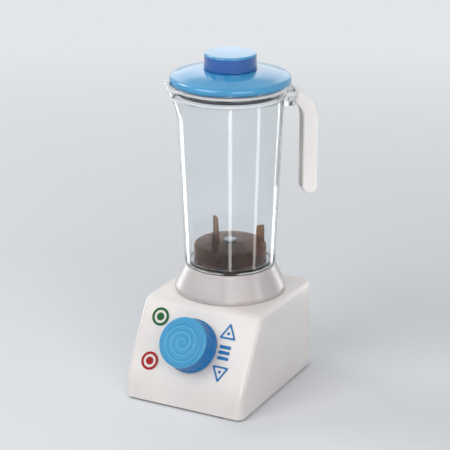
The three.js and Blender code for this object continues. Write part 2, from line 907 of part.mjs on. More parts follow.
function knobTrain() {
  const group = new THREE.Group();
  group.applyMatrix4(panelFrame);
  const clip = ring(clipRadius, knobShaftRadius + gap, -bossLength - gap - clipThickness, -bossLength - gap);
  const gear = bevelGear(knobGearTeeth, knobGearRadius, knobGearDistance, knobShaftRadius + gap, halfTurn / 2)
    .translate(0, 0, -apexDepth);
  group.add(piece('knob', knob(), bluePlastic));
  group.add(piece('knob_shaft', knobShaft(), innerPlastic));
  group.add(piece('knob_clip', clip, steel));
  group.add(piece('click_wheel', clickWheel(), darkPlastic));
  group.add(piece('knob_bevel_gear', gear, darkPlastic));
  return group;
}

// Bracket inside the base, made in the base's own frame

function gearBracket() {
  const upright = block(bracketWidth, bracketTop + bracketDrop, bracketThickness)
    .translate(0, (bracketTop - bracketDrop) / 2, -bracketPlace - bracketThickness).applyMatrix4(panelFrame);
  const bottom = plateThickness + gap;
  const footDepth = bracketFootFront - bracketFootBack;
  const foot = block(bracketFootWidth, footDepth, bracketFootHeight)
    .translate(0, -(bracketFootFront + bracketFootBack) / 2, bottom);
  const bosses = bracketScrewPlaces().map(([x, y]) => (
    rod(postRadius, bracketBossHeight).translate(x, y, bottom)));
  const pilots = bracketScrewPlaces().map(([x, y]) => (
    rod(screwShankRadius + gap, bracketBossHeight + 2 * overrun, screwSides)
      .translate(x, y, bottom - overrun)));
  const below = block(fullLength, fullLength, bracketDrop).translate(0, 0, bottom - bracketDrop);
  const bore = rod(knobShaftRadius + gap, bracketThickness + 2 * overrun)
    .translate(0, 0, -bracketPlace - bracketThickness - overrun).applyMatrix4(panelFrame);
  return cut(join(upright, foot, ...bosses), below, bore, ...pilots);
}

// Upright drive

function driveShaftTop() {
  return collarFloor + gap + dogBoreDepth;
}

function driveShaft() {
  const bottom = bearingFloor + gap;
  const top = driveShaftTop();
  return turned([
    [0, bottom],
    [driveShaftRadius - mould, bottom],
    [driveShaftRadius, bottom + mould],
    [driveShaftRadius, top - mould],
    [driveShaftRadius - mould, top],
    [0, top],
  ], smallSides);
}

function upperBush() {
  const inner = driveShaftRadius + gap;
  const outer = inner + bushWall;
  const bottom = collarFloor - socketFloorThickness - gap;
  return turned([
    [inner, bottom - bushFlangeHeight],
    [outer + bushFlange, bottom - bushFlangeHeight],
    [outer + bushFlange, bottom],
    [outer, bottom],
    [outer, collarFloor],
    [inner, collarFloor],
    [inner, bottom - bushFlangeHeight],
  ], smallSides);
}

function driveDog() {
  const bottom = collarFloor + gap;
  const flange = rod(dogFlangeRadius, dogFlangeHeight, roundSides).translate(0, 0, bottom);
  const hex = rod(dogHexRadius, baseHeight + dogTop - bottom, hexSides).translate(0, 0, bottom);
  const bore = rod(driveShaftRadius + gap, dogBoreDepth + gap + overrun).translate(0, 0, bottom - overrun);
  return cut(join(flange, hex), bore);
}

function driveTrain() {
  const turn = halfTurn / driveGearTeeth - halfTurn / 2;
  const gear = bevelGear(driveGearTeeth, driveGearRadius, driveGearDistance, driveShaftRadius + gap, turn)
    .translate(0, 0, apexHeight);
  return [
    piece('driven_bevel_gear', gear, darkPlastic),
    piece('drive_shaft', driveShaft(), steel),
    piece('drive_dog', driveDog(), darkPlastic),
  ];
}

// Jar, made with its handle towards +X and its spout towards -X

function pushedSpout(geometry) {
  const place = geometry.getAttribute('position');
  const start = jarBeadZ - spoutStart;
  for (let i = 0; i < place.count; i += 1) {
    const [x, y, z] = [place.getX(i), place.getY(i), place.getZ(i)];
    const radius = Math.hypot(x, y);
    const off = Math.abs(Math.atan2(y, -x)) / (spoutHalfAngle * degree);
    const climb = (z - start) / (jarRim - start);
    if (off < 1 && climb > 0 && radius > neckRadius) {
      const bell = Math.cos((halfTurn / 2) * off) ** 2;
      const grown = radius + spoutReach * bell * climb ** spoutCurve;
      const lift = Math.max(bell - spoutRiseShare, 0) / (1 - spoutRiseShare);
      const lifted = z + spoutRise * Math.sin((halfTurn / 2) * lift) * climb ** (2 * spoutCurve);
      place.setXYZ(i, (x * grown) / radius, (y * grown) / radius, lifted);
    }
  }
  return geometry;
}

function jarBody() {
  const bush = spindleRadius + gap + spindleBushWall + gap;
  const innerBottom = jarBottomRadius - jarWall;
  const beadStep = jarBead / 3;
  const middle = (jarSeat + jarBeadZ) / 2;
  const outerMiddle = (jarBottomRadius + jarTopRadius) / 2;
  const spoutFoot = jarBeadZ - spoutStart;
  const spoutFootShare = (spoutFoot - jarSeat) / jarBeadHeight;
  const outerFoot = jarBottomRadius + (jarTopRadius - jarBottomRadius) * spoutFootShare;
  return turned([
    [bush, jarInside],
    [innerBottom - 2 * jarFootFillet, jarInside],
    [innerBottom - jarFootFillet / 2, jarInside + jarFootFillet / 2],
    [innerBottom, jarInside + 2 * jarFootFillet],
    [outerMiddle - jarWall, middle],
    [outerFoot - jarWall, spoutFoot],
    [jarTopRadius - jarWall, jarBeadZ - jarBead],
    [rimInner, jarBeadZ + jarBead / 2],
    [rimInner, jarRim],
    [rimOuter + jarLip, jarRim],
    [rimOuter + jarLip, jarRim - jarLipHeight],
    [rimOuter, jarRim - jarLipHeight - jarLip],
    [rimOuter, jarBeadZ + beadStep],
    [rimOuter - beadStep, jarBeadZ],
    [jarTopRadius, jarBeadZ - beadStep],
    [outerFoot, spoutFoot],
    [outerMiddle, middle],
    [jarBottomRadius, jarSeat + jarFootFillet],
    [jarBottomRadius - jarFootFillet / 3, jarSeat + jarFootFillet / 3],
    [jarBottomRadius - jarFootFillet, jarSeat],
    [neckRadius, jarSeat],
    [neckRadius, jarSeat - neckLength],
    [neckRadius - neckWall, jarSeat - neckLength],
    [neckRadius - neckWall, jarSeat],
    [bush, jarSeat],
    [bush, jarInside],
  ], jarSides);
}

function jar() {
  const body = pushedSpout(jarBody());
  const lugs = neckLugPlaces().map((angle) => (
    block(lugReach + neckWall / 2, lugWidth, lugHeight)
      .translate(neckRadius + (lugReach - neckWall / 2) / 2, 0, jarSeat - lugHeight - mould)
      .rotateZ(angle - jarTurn * degree)));
  const blockBottom = jarRim - bracketBlockBottom;
  const blockTop = jarRim - bracketBlockTop;
  const outline = roundedOutline([
    [jarBottomRadius, -bracketBlockWidth / 2, 0],
    [bracketBlockReach, -bracketBlockWidth / 2, bracketBlockEdge],
    [bracketBlockReach, bracketBlockWidth / 2, bracketBlockEdge],
    [jarBottomRadius, bracketBlockWidth / 2, 0],
  ]);
  const mount = cut(prism(outline, blockTop - blockBottom).translate(0, 0, blockBottom), jarWallCore());
  const tongue = tongueSpan();
  const pocket = block(tongueLength + gap + overrun, tongueWidth + 2 * gap, tongueHeight + 2 * gap)
    .translate(tongue.inner + (tongueLength + overrun - gap) / 2, 0, tongue.bottom - gap);
  const screwHole = rod(screwShankRadius + gap, tongue.bottom - blockBottom + 2 * overrun, screwSides)
    .translate(tongue.inner + tongueLength / 2, 0, blockBottom - overrun);
  return cut(join(body, mount, ...lugs), pocket, screwHole);
}

// The space inside the middle of the jar's wall, round its bead.
function jarWallCore() {
  const [below, above] = [jarTopRadius - jarWall / 2, rimInner + jarWall / 2];
  return turned([
    [0, jarSeat],
    [below, jarSeat],
    [below, jarBeadZ - jarBead],
    [above, jarBeadZ + jarBead / 2],
    [above, jarRim],
    [0, jarRim],
  ], jarSides);
}

function tongueSpan() {
  return {
    inner: bracketBlockReach - tongueLength,
    bottom: jarRim - tongueBottom,
  };
}

// The handle's J in its own plane: X away from the jar, Y up.
function handleShape(outerInset, innerInset, tipInset, startX, endAngle) {
  const centreX = handleReach - handleDepth / 2 - handleBend;
  const centreZ = jarRim - handleBendDrop;
  const outer = handleBend + handleDepth / 2 - outerInset;
  const inner = handleBend - handleDepth / 2 + innerInset;
  const tipZ = jarRim - handleBendDrop - handleTipRise + tipInset;
  const tipRadius = (outer - inner) / 2;
  const outerEnd = endAngle ?? Math.acos((startX - centreX) / outer);
  const innerEnd = endAngle ?? Math.acos((startX - centreX) / inner);
  return new THREE.Shape([
    ...arc(centreX + (outer + inner) / 2, tipZ, tipRadius, halfTurn, fullTurn),
    ...arc(centreX, centreZ, outer, 0, outerEnd),
    ...arc(centreX, centreZ, inner, innerEnd, 0),
  ]);
}

function handle() {
  const endFace = bracketBlockReach + gap;
  const bar = new THREE.ExtrudeGeometry(handleShape(0, 0, 0, endFace), {
    depth: handleWidth - 2 * handleEdge,
    bevelThickness: handleEdge,
    bevelSize: handleEdge,
    bevelOffset: -handleEdge,
    bevelSegments: bevelSteps,
  }).translate(0, 0, handleEdge - handleWidth / 2);
  const hollowDepth = handleWidth - 2 * handleWall;
  const hollow = prism(
    handleShape(handleWall + mould, -overrun, handleWall + mould, 0, handleHollowAngle * degree),
    hollowDepth - handleEdge,
  ).translate(0, 0, (handleEdge - hollowDepth) / 2);
  const upright = cut(bar, hollow).rotateX(halfTurn / 2);
  const { inner, bottom } = tongueSpan();
  const tongueReach = tongueLength + 2 * handleEdge;
  const tongue = block(tongueReach - gap, tongueWidth, tongueHeight)
    .translate(inner + gap + (tongueReach - gap) / 2, 0, bottom);
  const pilot = rod(screwShankRadius + gap, screwLength, screwSides)
    .translate(inner + tongueLength / 2, 0, bottom - overrun);
  return cut(join(upright, tongue), pilot);
}

function handleScrew() {
  const { inner } = tongueSpan();
  const bottom = jarRim - bracketBlockBottom - gap - screwHeadHeight;
  return screw().translate(inner + tongueLength / 2, 0, bottom);
}

function spindleBush() {
  const inner = spindleRadius + gap;
  const outer = inner + spindleBushWall;
  const bottom = jarSeat - gap;
  return turned([
    [inner, bottom - spindleBushFlangeHeight],
    [outer + spindleBushFlange, bottom - spindleBushFlangeHeight],
    [outer + spindleBushFlange, bottom],
    [outer, bottom],
    [outer, jarInside],
    [inner, jarInside],
    [inner, bottom - spindleBushFlangeHeight],
  ], smallSides);
}

// Spinning cup

function cupBottom() {
  return jarInside + cupLift;
}

function cupTop() {
  return cupBottom() + cupHeight;
}

function rotorCup() {
  const [bottom, top] = [cupBottom(), cupTop()];
  const bore = spindleRadius + gap;
  const body = turned([
    [bore, bottom + mould],
    [cupHubRadius, bottom + mould],
    [cupHubRadius, top - cupWall],
    [cupRadius - cupWall - cupEdge, top - cupWall - cupCrown],
    [cupRadius - cupWall, top - cupWall - cupCrown - cupEdge],
    [cupRadius - cupWall, bottom],
    [cupRadius, bottom],
    [cupRadius, top - cupCrown - cupEdge],
    [cupRadius - cupEdge / 3, top - cupCrown - cupEdge / 3],
    [cupRadius - cupEdge, top - cupCrown],
    [cupHubRadius, top],
    [bore, top],
    [bore, bottom + mould],
  ], roundSides);
  const lean = finHeight * finLeanShare;
  const finBottom = top - cupCrown - cupWall / 2;
  const finShape = new THREE.Shape([
    new THREE.Vector2(finInner - lean / 2, finBottom),
    new THREE.Vector2(finOuter, finBottom),
    new THREE.Vector2(finOuter, finBottom + finHeight),
    new THREE.Vector2(finInner + lean / 2, finBottom + finHeight - lean / 2),
  ]);
  const fins = Array.from({ length: finCount }, (_, i) => (
    prism(finShape, finThickness).translate(0, 0, -finThickness / 2).rotateX(halfTurn / 2)
      .rotateZ(finTurn * degree + (i * fullTurn) / finCount)));
  return join(body, ...fins);
}

function rotorBlades() {
  const hub = cupHubRadius + gap;
  const bottom = cupBottom() + mould;
  const tipHeight = bladeHeight * bladeTipShare;
  const sleeve = ring(hub + bladeThickness, hub, bottom, bottom + bladeHeight, smallSides);
  const bladeShape = new THREE.Shape([
    new THREE.Vector2(hub + bladeThickness / 2, bottom),
    new THREE.Vector2(bladeReach, bottom),
    new THREE.Vector2(bladeReach, bottom + tipHeight),
    new THREE.Vector2(hub + bladeThickness / 2, bottom + bladeHeight),
  ]);
  const blades = Array.from({ length: bladeCount }, (_, i) => (
    prism(bladeShape, bladeThickness).translate(0, 0, -bladeThickness / 2).rotateX(halfTurn / 2)
      .rotateZ((i * fullTurn) / bladeCount)));
  return join(sleeve, ...blades);
}

function couplingTop() {
  return jarSeat - 2 * gap - spindleBushFlangeHeight - gap;
}

function rotorSpindle() {
  const bottom = couplingTop() - couplingHeight + couplingSocket + 2 * gap;
  const top = cupTop() + gap;
  return turned([
    [0, bottom],
    [spindleRadius, bottom],
    [spindleRadius, top],
    [spindleHead, top],
    [spindleHead, top + spindleHeadHeight - mould],
    [spindleHead - mould, top + spindleHeadHeight],
    [0, top + spindleHeadHeight],
  ], smallSides);
}

function jarCoupling() {
  const bottom = couplingTop() - couplingHeight;
  const disc = rod(couplingRadius, couplingHeight, roundSides).translate(0, 0, bottom);
  const hexHole = rod(dogHexRadius + couplingPlay, couplingSocket + overrun, hexSides)
    .translate(0, 0, bottom - overrun);
  const bore = rod(spindleRadius + gap, couplingHeight + 2 * overrun).translate(0, 0, bottom - overrun);
  return cut(disc, hexHole, bore);
}

function jarAssembly() {
  const group = new THREE.Group();
  group.rotateOnAxis(up, jarTurn * degree);
  group.add(piece('jar', jar(), clearPlastic));
  group.add(piece('handle', handle(), whitePlastic));
  group.add(piece('handle_screw', handleScrew(), steel));
  group.add(piece('spindle_bush', spindleBush(), innerPlastic));
  return group;
}

function rotorAssembly() {
  return [
    piece('rotor_cup', rotorCup(), smokyPlastic),
    piece('rotor_blades', rotorBlades(), darkPlastic),
    piece('rotor_spindle', rotorSpindle(), steel),
    piece('jar_coupling', jarCoupling(), darkPlastic),
  ];
}

// Lid and grip

// Points of the lid's soft crown from the grip to the rounded edge.
function crown(inner, outer, top, bottom) {
  return Array.from({ length: crownSteps + 1 }, (_, i) => {
    const share = i / crownSteps;
    return [inner + (outer - inner) * share, top + (bottom - top) * share ** 2];
  });
}

function lid() {
  const plugOuter = rimInner - lidPlugPlay;
  const plugInner = plugOuter - lidPlugWall;
  const edgeTop = lidSeat + lidEdge;
  const outside = crown(gripRadius, lidRadius - lidRound, lidTop, edgeTop);
  const inside = crown(gripRadius, plugInner, lidTop - lidWall, edgeTop - lidWall).reverse();
  return turned([
    [lidHole, lidTop],
    ...outside,
    [lidRadius - lidRound / 3, edgeTop - lidRound / 3],
    [lidRadius, edgeTop - lidRound],
    [lidRadius, lidSeat + 2 * mould],
    [lidRadius - mould, lidSeat + mould / 2],
    [lidRadius - 2 * mould, lidSeat],
    [plugOuter, lidSeat],
    [plugOuter, lidSeat - lidPlug + mould],
    [plugOuter - mould, lidSeat - lidPlug],
    [plugInner, lidSeat - lidPlug],
    ...inside,
    [lidHole, lidTop - lidWall],
    [lidHole, lidTop],
  ], wideSides);
}

function lidGrip() {
  const bottom = lidTop + gap;
  const top = bottom + gripHeight;
  const tongueOuter = lidHole - gap;
  const tongueInner = tongueOuter - gripWall;
  return turned([
    [0, top - gripWall],
    [tongueInner, top - gripWall],
    [tongueInner, bottom - gripTongue],
    [tongueOuter, bottom - gripTongue],
    [tongueOuter, bottom],
    [gripRadius, bottom],
    [gripRadius - gripTaper, top - gripEdge],
    [gripRadius - gripTaper - gripEdge / 3, top - gripEdge / 3],
    [gripRadius - gripTaper - gripEdge, top],
    [0, top],
  ], roundSides);
}

// The whole blender

function blender() {
  const whole = new THREE.Group();
  whole.add(piece('base_housing', baseHousing(), whitePlastic));
  whole.add(piece('base_plate', basePlate(), whitePlastic));
  whole.add(piece('jar_collar', collar(), collarPlastic));
  whole.add(piece('gear_bracket', gearBracket(), innerPlastic));
  whole.add(piece('upper_bush', upperBush(), innerPlastic));
  whole.add(...feet());
  whole.add(...screwSet('base_screw', baseScrewPlaces(), plateScrewBottom()));
  whole.add(...screwSet('bracket_screw', bracketScrewPlaces(), plateScrewBottom()));
  whole.add(...screwSet('collar_screw', collarScrewPlaces(), collarScrewBottom()));
  const spring = new THREE.Group();
  spring.applyMatrix4(panelFrame);
  spring.add(piece('click_spring', clickSpring(), steel));
  whole.add(panelSymbols(), spring, knobTrain(), ...driveTrain());
  whole.add(jarAssembly(), ...rotorAssembly());
  whole.add(piece('lid', lid(), lidPlastic));
  whole.add(piece('lid_grip', lidGrip(), lidPlastic));
  return whole;
}

export default blender();
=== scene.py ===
"""The looks of a toy blender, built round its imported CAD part. Lengths are in millimetres
until a mesh is made, and in metres from there on."""

import math

import bmesh
import bpy
from mathutils import Matrix, Vector


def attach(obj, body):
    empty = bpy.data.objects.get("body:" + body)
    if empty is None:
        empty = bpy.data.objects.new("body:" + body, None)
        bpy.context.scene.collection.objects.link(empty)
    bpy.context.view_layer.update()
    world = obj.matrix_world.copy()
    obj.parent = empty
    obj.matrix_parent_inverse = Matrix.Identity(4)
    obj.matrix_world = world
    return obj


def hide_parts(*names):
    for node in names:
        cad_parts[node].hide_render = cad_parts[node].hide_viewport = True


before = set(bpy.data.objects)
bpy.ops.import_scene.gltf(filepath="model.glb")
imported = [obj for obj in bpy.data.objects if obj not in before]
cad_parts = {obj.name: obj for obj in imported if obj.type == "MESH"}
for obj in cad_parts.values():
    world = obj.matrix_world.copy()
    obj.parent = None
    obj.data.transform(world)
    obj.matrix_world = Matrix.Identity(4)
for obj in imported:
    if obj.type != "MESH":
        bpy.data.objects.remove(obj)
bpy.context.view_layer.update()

MM = 0.001
TURN = 2 * math.pi
GAP = 0.3

# How near is as good as touching: in millimetres, and in metres between a mesh's points
NEAR = 0.01
ON_AXIS = 1e-6
ONE_POINT = 1e-7
DOUBLED = 1e-8

# Heights, places and sizes, in line with the part's source
FOOT_SOLE = -1.5
PLATE_TOP = 3.0
BASE_TOP = 81.5
HOUSING_FOOT, HOUSING_BACK = 0.6, 53.0
SKIRT_FRONT, SKIRT_TOP = -87.5, 21.0
HOUSING_WIDEST_EDGE = 11.0
COLLAR_FLOOR = 91.2
COLLAR_TOP = 105.5
JAR_SEAT = 105.8
JAR_INSIDE = 108.3
JAR_BEAD = 255.3
JAR_RIM = 265.0
LID_SEAT = 265.3
LID_TOP = 277.6
JAR_TURN = math.radians(40)
HANDLE_SCREW = 51.5
LUGS = 4
SHAFT_TOP = 97.0
CUP_TOP = 124.1
KNOB_FACE = 22.0
KNOB_FLAT = 19.0
KNOB_CENTRE = Vector((0, -69.858115, 50.648168))
PANEL_UP = Vector((0, 0.5113590, 0.8593672))
PANEL_OUT = Vector((0, -0.8593672, 0.5113590))
SYMBOL_SIDE = 30.6
BUTTON_SIDE, BUTTON_OFFSET = -36, 19.5
SYMBOL_ROOT, SYMBOL_GROOVE, SYMBOL_TOP = -0.5, 0.6, 1.1
ARROW_HALF, ARROW_LOW, ARROW_TALL = 7.9, 11.8, 14.2

# Colours that more than one finish has, or that the room has
BARE_WHITE, BARE_SHADE = "E9E4E1", "E2DCD9"
LIGHT_BLUE, LIGHT_BLUE_DEEP = "3E9DCE", "3491C4"
ROOM_PALE = "E3E6E9"


# Outlines

def rounded(corners, steps=6, most=0.49):
    """The points of a closed outline. A corner [x, y, radius] is rounded by an arc, which
    takes up no more than the share given of the straight stretches beside it."""
    points = []
    for i, corner in enumerate(corners):
        here = Vector(corner[:2])
        radius = corner[2] if len(corner) > 2 else 0
        if not radius:
            points.append(tuple(here))
            continue
        before = Vector(corners[i - 1][:2]) - here
        after = Vector(corners[(i + 1) % len(corners)][:2]) - here
        half = before.angle(after) / 2
        reach = min(radius / math.tan(half), most * before.length, most * after.length)
        radius = reach * math.tan(half)
        inward = (before.normalized() + after.normalized()).normalized()
        middle = here + inward * radius / math.sin(half)
        start = here + before.normalized() * reach - middle
        end = here + after.normalized() * reach - middle
        first = math.atan2(start.y, start.x)
        swing = math.remainder(math.atan2(end.y, end.x) - first, TURN)
        for step in range(steps + 1):
            angle = first + swing * step / steps
            points.append((middle.x + radius * math.cos(angle), middle.y + radius * math.sin(angle)))
    return points


def divided(points, longest):
    """The same closed outline with no stretch longer than the one given."""
    close = []
    for here, there in zip(points, points[1:] + points[:1]):
        here, there = Vector(here), Vector(there)
        parts = max(1, math.ceil((there - here).length / longest))
        close += [tuple(here.lerp(there, part / parts)) for part in range(parts)]
    return close


def box_outline(low_x, low_y, high_x, high_y, radius=0, steps=6):
    """A rectangle between two corners, with its own corners rounded."""
    return rounded([[low_x, low_y, radius], [high_x, low_y, radius],
                    [high_x, high_y, radius], [low_x, high_y, radius]], steps)


def arc(x, y, radius, first, last, steps=24):
    """The points of an arc round (x, y), from the first angle to the last."""
    angles = [first + (last - first) * step / steps for step in range(steps + 1)]
    return [(x + radius * math.cos(angle), y + radius * math.sin(angle)) for angle in angles]


def ramp(value, width):
    """0 where the value is 0 or less, 1 from the width on, and even in between."""
    return min(1.0, max(0.0, value / width))


# Places

def at(x, y, z=0):
    return Matrix.Translation(Vector((x, y, z)) * MM)


def spun(angle, axis="Z"):
    return Matrix.Rotation(angle, 4, axis)


def upright():
    """Stands a flat outline up, so that its Y becomes the height."""
    return spun(math.pi / 2, "X")


def lug_angles():
    """Where the jar's lugs and the collar's slots stand round the jar's axis."""
    return [JAR_TURN + (lug + 0.5) * TURN / LUGS for lug in range(LUGS)]


# Meshes

def made(name, vertices, faces, place=None):
    """An object in the shared frame, from vertices in millimetres."""
    mesh = bpy.data.meshes.new(name)
    mesh.from_pydata([Vector(vertex) * MM for vertex in vertices], [], faces)
    work = bmesh.new()
    work.from_mesh(mesh)
    bmesh.ops.remove_doubles(work, verts=work.verts, dist=ONE_POINT)
    bmesh.ops.recalc_face_normals(work, faces=work.faces)
    work.to_mesh(mesh)
    work.free()
    if place is not None:
        mesh.transform(place)
    thing = bpy.data.objects.new(name, mesh)
    bpy.context.scene.collection.objects.link(thing)
    return thing


def turned(name, profile, sides=160, place=None, shaped=None):
    """A solid turned round Z from a closed outline of (radius, height) points."""
    vertices, rings = [], []
    for radius, height in profile:
        start = len(vertices)
        if radius < ON_AXIS:
            rings.append([start] * sides)
            vertices.append((0, 0, height))
            continue
        rings.append(list(range(start, start + sides)))
        angles = [TURN * k / sides for k in range(sides)]
        vertices += [(radius * math.cos(angle), radius * math.sin(angle), height) for angle in angles]
    faces = []
    for low, high in zip(rings, rings[1:] + rings[:1]):
        if low[0] == low[1] and high[0] == high[1]:
            continue
        for k in range(sides):
            after = (k + 1) % sides
            faces.append(list(dict.fromkeys((low[k], low[after], high[after], high[k]))))
    if shaped:
        vertices = [shaped(*vertex) for vertex in vertices]
    return made(name, vertices, faces, place)


def prism(name, outline, bottom, top, place=None):
    """An upright solid from a closed outline, between two heights."""
    count = len(outline)
    vertices = [(x, y, bottom) for x, y in outline] + [(x, y, top) for x, y in outline]
    faces = [list(range(count))[::-1], list(range(count, 2 * count))]
    faces += [[i, (i + 1) % count, count + (i + 1) % count, count + i] for i in range(count)]
    return made(name, vertices, faces, place)


def applied(thing):
    """Bakes a thing's modifiers into its mesh."""
    bpy.context.view_layer.update()
    graph = bpy.context.evaluated_depsgraph_get()
    mesh = bpy.data.meshes.new_from_object(thing.evaluated_get(graph))
    thing.modifiers.clear()
    thing.data = mesh
    return thing


def merged(thing):
    """Merges points that a cut or a bevel left on top of each other."""
    work = bmesh.new()
    work.from_mesh(thing.data)
    bmesh.ops.remove_doubles(work, verts=work.verts, dist=DOUBLED)
    bmesh.ops.dissolve_degenerate(work, edges=work.edges, dist=DOUBLED)
    work.to_mesh(thing.data)
    work.free()
    return thing


def worked(thing, operation, *tools):
    """Joins the tools to the thing (UNION) or takes them away from it (DIFFERENCE)."""
    for tool in tools:
        step = thing.modifiers.new(operation, "BOOLEAN")
        step.operation = operation
        step.solver = "EXACT"
        step.object = tool
    applied(thing)
    for tool in tools:
        bpy.data.objects.remove(tool)
    return merged(thing)


def softened(thing, width, segments=4, angle=50, weighted=False):
    """Rounds a thing's edges: those sharper than the angle, or each by its own weight."""
    step = thing.modifiers.new("soft edges", "BEVEL")
    step.width = width * MM
    step.segments = segments
    step.limit_method = "WEIGHT" if weighted else "ANGLE"
    step.angle_limit = math.radians(angle)
    step.use_clamp_overlap = not weighted
    return thing


def walled(thing, thickness):
    """Turns an open skin into a wall of even thickness."""
    step = thing.modifiers.new("wall", "SOLIDIFY")
    step.thickness = thickness * MM
    step.offset = -1
    step.use_even_offset = True
    return applied(thing)


def weigh_edges(thing, weight_of):
    """Sets each edge's share of the bevel from its two ends, in millimetres."""
    mesh = thing.data
    weights = mesh.attributes.new("bevel_weight_edge", "FLOAT", "EDGE")
    for edge in mesh.edges:
        ends = [mesh.vertices[i].co / MM for i in edge.vertices]
        weights.data[edge.index].value = weight_of(*ends)


def dressed(thing, body, finish, slot, *nodes, sharp=35, weighted=False):
    """Gives a piece its finish, its smooth shading and its place in the frame."""
    thing.data.materials.clear()
    thing.data.materials.append(finish)
    thing.data.shade_smooth()
    thing.data.set_sharp_from_angle(angle=math.radians(sharp))
    if weighted:
        step = thing.modifiers.new("even shading", "WEIGHTED_NORMAL")
        step.keep_sharp = True
    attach(thing, body)
    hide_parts(*nodes)
    return thing


# Finishes

def tint(code):
    """A colour's linear values from its six hexadecimal digits, by the sRGB standard's curve."""
    low_end, slope, offset, power = 0.04045, 12.92, 0.055, 2.4
    parts = [int(code[i:i + 2], 16) / 255 for i in (0, 2, 4)]
    return [p / slope if p <= low_end else ((p + offset) / (1 + offset)) ** power for p in parts] + [1.0]


class Value:
    """A socket of a material. A sum written with it adds its Math nodes."""

    def __init__(self, tree, socket):
        self.tree, self.socket = tree, socket

    def math(self, operation, first, second):
        step = self.tree.nodes.new("ShaderNodeMath")
        step.operation = operation
        for socket, given in zip(step.inputs, (first, second)):
            if isinstance(given, Value):
                self.tree.links.new(given.socket, socket)
            else:
                socket.default_value = given
        return Value(self.tree, step.outputs[0])

    def __add__(self, other):
        return self.math("ADD", self, other)

    def __sub__(self, other):
        return self.math("SUBTRACT", self, other)

    def __rsub__(self, other):
        return self.math("SUBTRACT", other, self)

    def __mul__(self, other):
        return self.math("MULTIPLY", self, other)

    def __gt__(self, other):
        return self.math("GREATER_THAN", self, other)

    __radd__ = __add__
    __rmul__ = __mul__


class Finish:
    """A material in the making, or the world's nodes."""

    def __init__(self, name="", tree=None):
        if tree is None:
            self.material = bpy.data.materials.new(name)
            self.material.use_nodes = True
            tree = self.material.node_tree
        self.tree = tree
        self.tree.nodes.clear()

    def node(self, kind, settings=None, inputs=None, output=0):
        step = self.tree.nodes.new(kind)
        for key, value in (settings or {}).items():
            if key == "stops":
                for place, _ in value[2:]:
                    step.color_ramp.elements.new(place)
                for stop, (place, colour) in zip(step.color_ramp.elements, value):
                    stop.position, stop.color = place, colour
            else:
                setattr(step, key, value)
        for key, value in (inputs or {}).items():
            if isinstance(value, Value):
                self.tree.links.new(value.socket, step.inputs[key])
            else:
                step.inputs[key].default_value = value
        return Value(self.tree, step.outputs[output])

    def place(self):
        return self.node("ShaderNodeTexCoord", output="Object")

    def axis(self, number):
        """How far a point lies along X, Y or Z (0, 1 or 2), in millimetres."""
        return self.node("ShaderNodeSeparateXYZ", None, {0: self.place()}, number) * (1 / MM)

    def off_panel(self):
        """How far a point stands off the sloped panel, in millimetres."""
        away = self.node("ShaderNodeVectorMath", {"operation": "SUBTRACT"}, {
            0: self.place(), 1: KNOB_CENTRE * MM})
        return self.node("ShaderNodeVectorMath", {"operation": "DOT_PRODUCT"}, {
            0: away, 1: PANEL_OUT}, "Value") * (1 / MM)

    def within(self, radius):
        """1 where a point is nearer to the jar's axis than the radius given, else 0."""
        x, y = self.axis(0), self.axis(1)
        return 1 - (x * x + y * y > radius * radius)

    def noise(self, scale, detail=2.0, rough=0.5):
        return self.node("ShaderNodeTexNoise", None, {
            "Vector": self.place(), "Scale": scale, "Detail": detail, "Roughness": rough})

    def blend(self, share, first, second):
        return self.node("ShaderNodeMix", {"data_type": "RGBA"}, {0: share, 6: first, 7: second}, 2)

    def steps(self, value, *stops):
        """A value run through a ramp of (place, level) stops."""
        ramp = [(place, (level, level, level, 1)) for place, level in stops]
        return self.node("ShaderNodeValToRGB", {"stops": ramp}, {0: value})

    def bump(self, height, distance, strength=1.0):
        return self.node("ShaderNodeBump", None, {
            "Height": height, "Distance": distance * MM, "Strength": strength})

    def shown(self, surface):
        output = self.tree.nodes.new("ShaderNodeOutputMaterial")
        self.tree.links.new(surface.socket, output.inputs["Surface"])
        return self.material


def moulded(name, colour, deep, roughness, grain=0.012, coat=0.0, worn=0.06, shade=None, sheen=0.5):
    """Moulded plastic: slow flow tints, a fine satin grain, and faint rubbed places. A shade is
    a second colour, which paints light or shade, and the function that says where it lies. Noise scales are
    per metre."""
    finish = Finish(name)
    flow = finish.noise(scale=26, detail=3, rough=0.55)
    rubbed = finish.steps(finish.noise(scale=61, detail=5, rough=0.65), (0.48, 0.0), (0.72, 1.0))
    speck = finish.noise(scale=5200, detail=2)
    skin = finish.noise(scale=1500, detail=3, rough=0.6)
    base = finish.blend(finish.steps(flow, (0.35, 0.0), (0.68, 1.0)), tint(colour), tint(deep))
    # The shade paints light or shade over the plastic's own colour.
    if shade:
        second, where = shade
        base = finish.blend(where(finish), base, tint(second))
    pebble = skin + speck * 0.3
    return finish.shown(finish.node("ShaderNodeBsdfPrincipled", None, {
        "Base Color": base,
        "Roughness": roughness + rubbed * worn + (speck - 0.5) * 0.05,
        "Specular IOR Level": sheen,
        "Coat Weight": coat,
        "Coat Roughness": 0.12,
        "Normal": finish.bump(pebble, grain, strength=0.5),
    }))


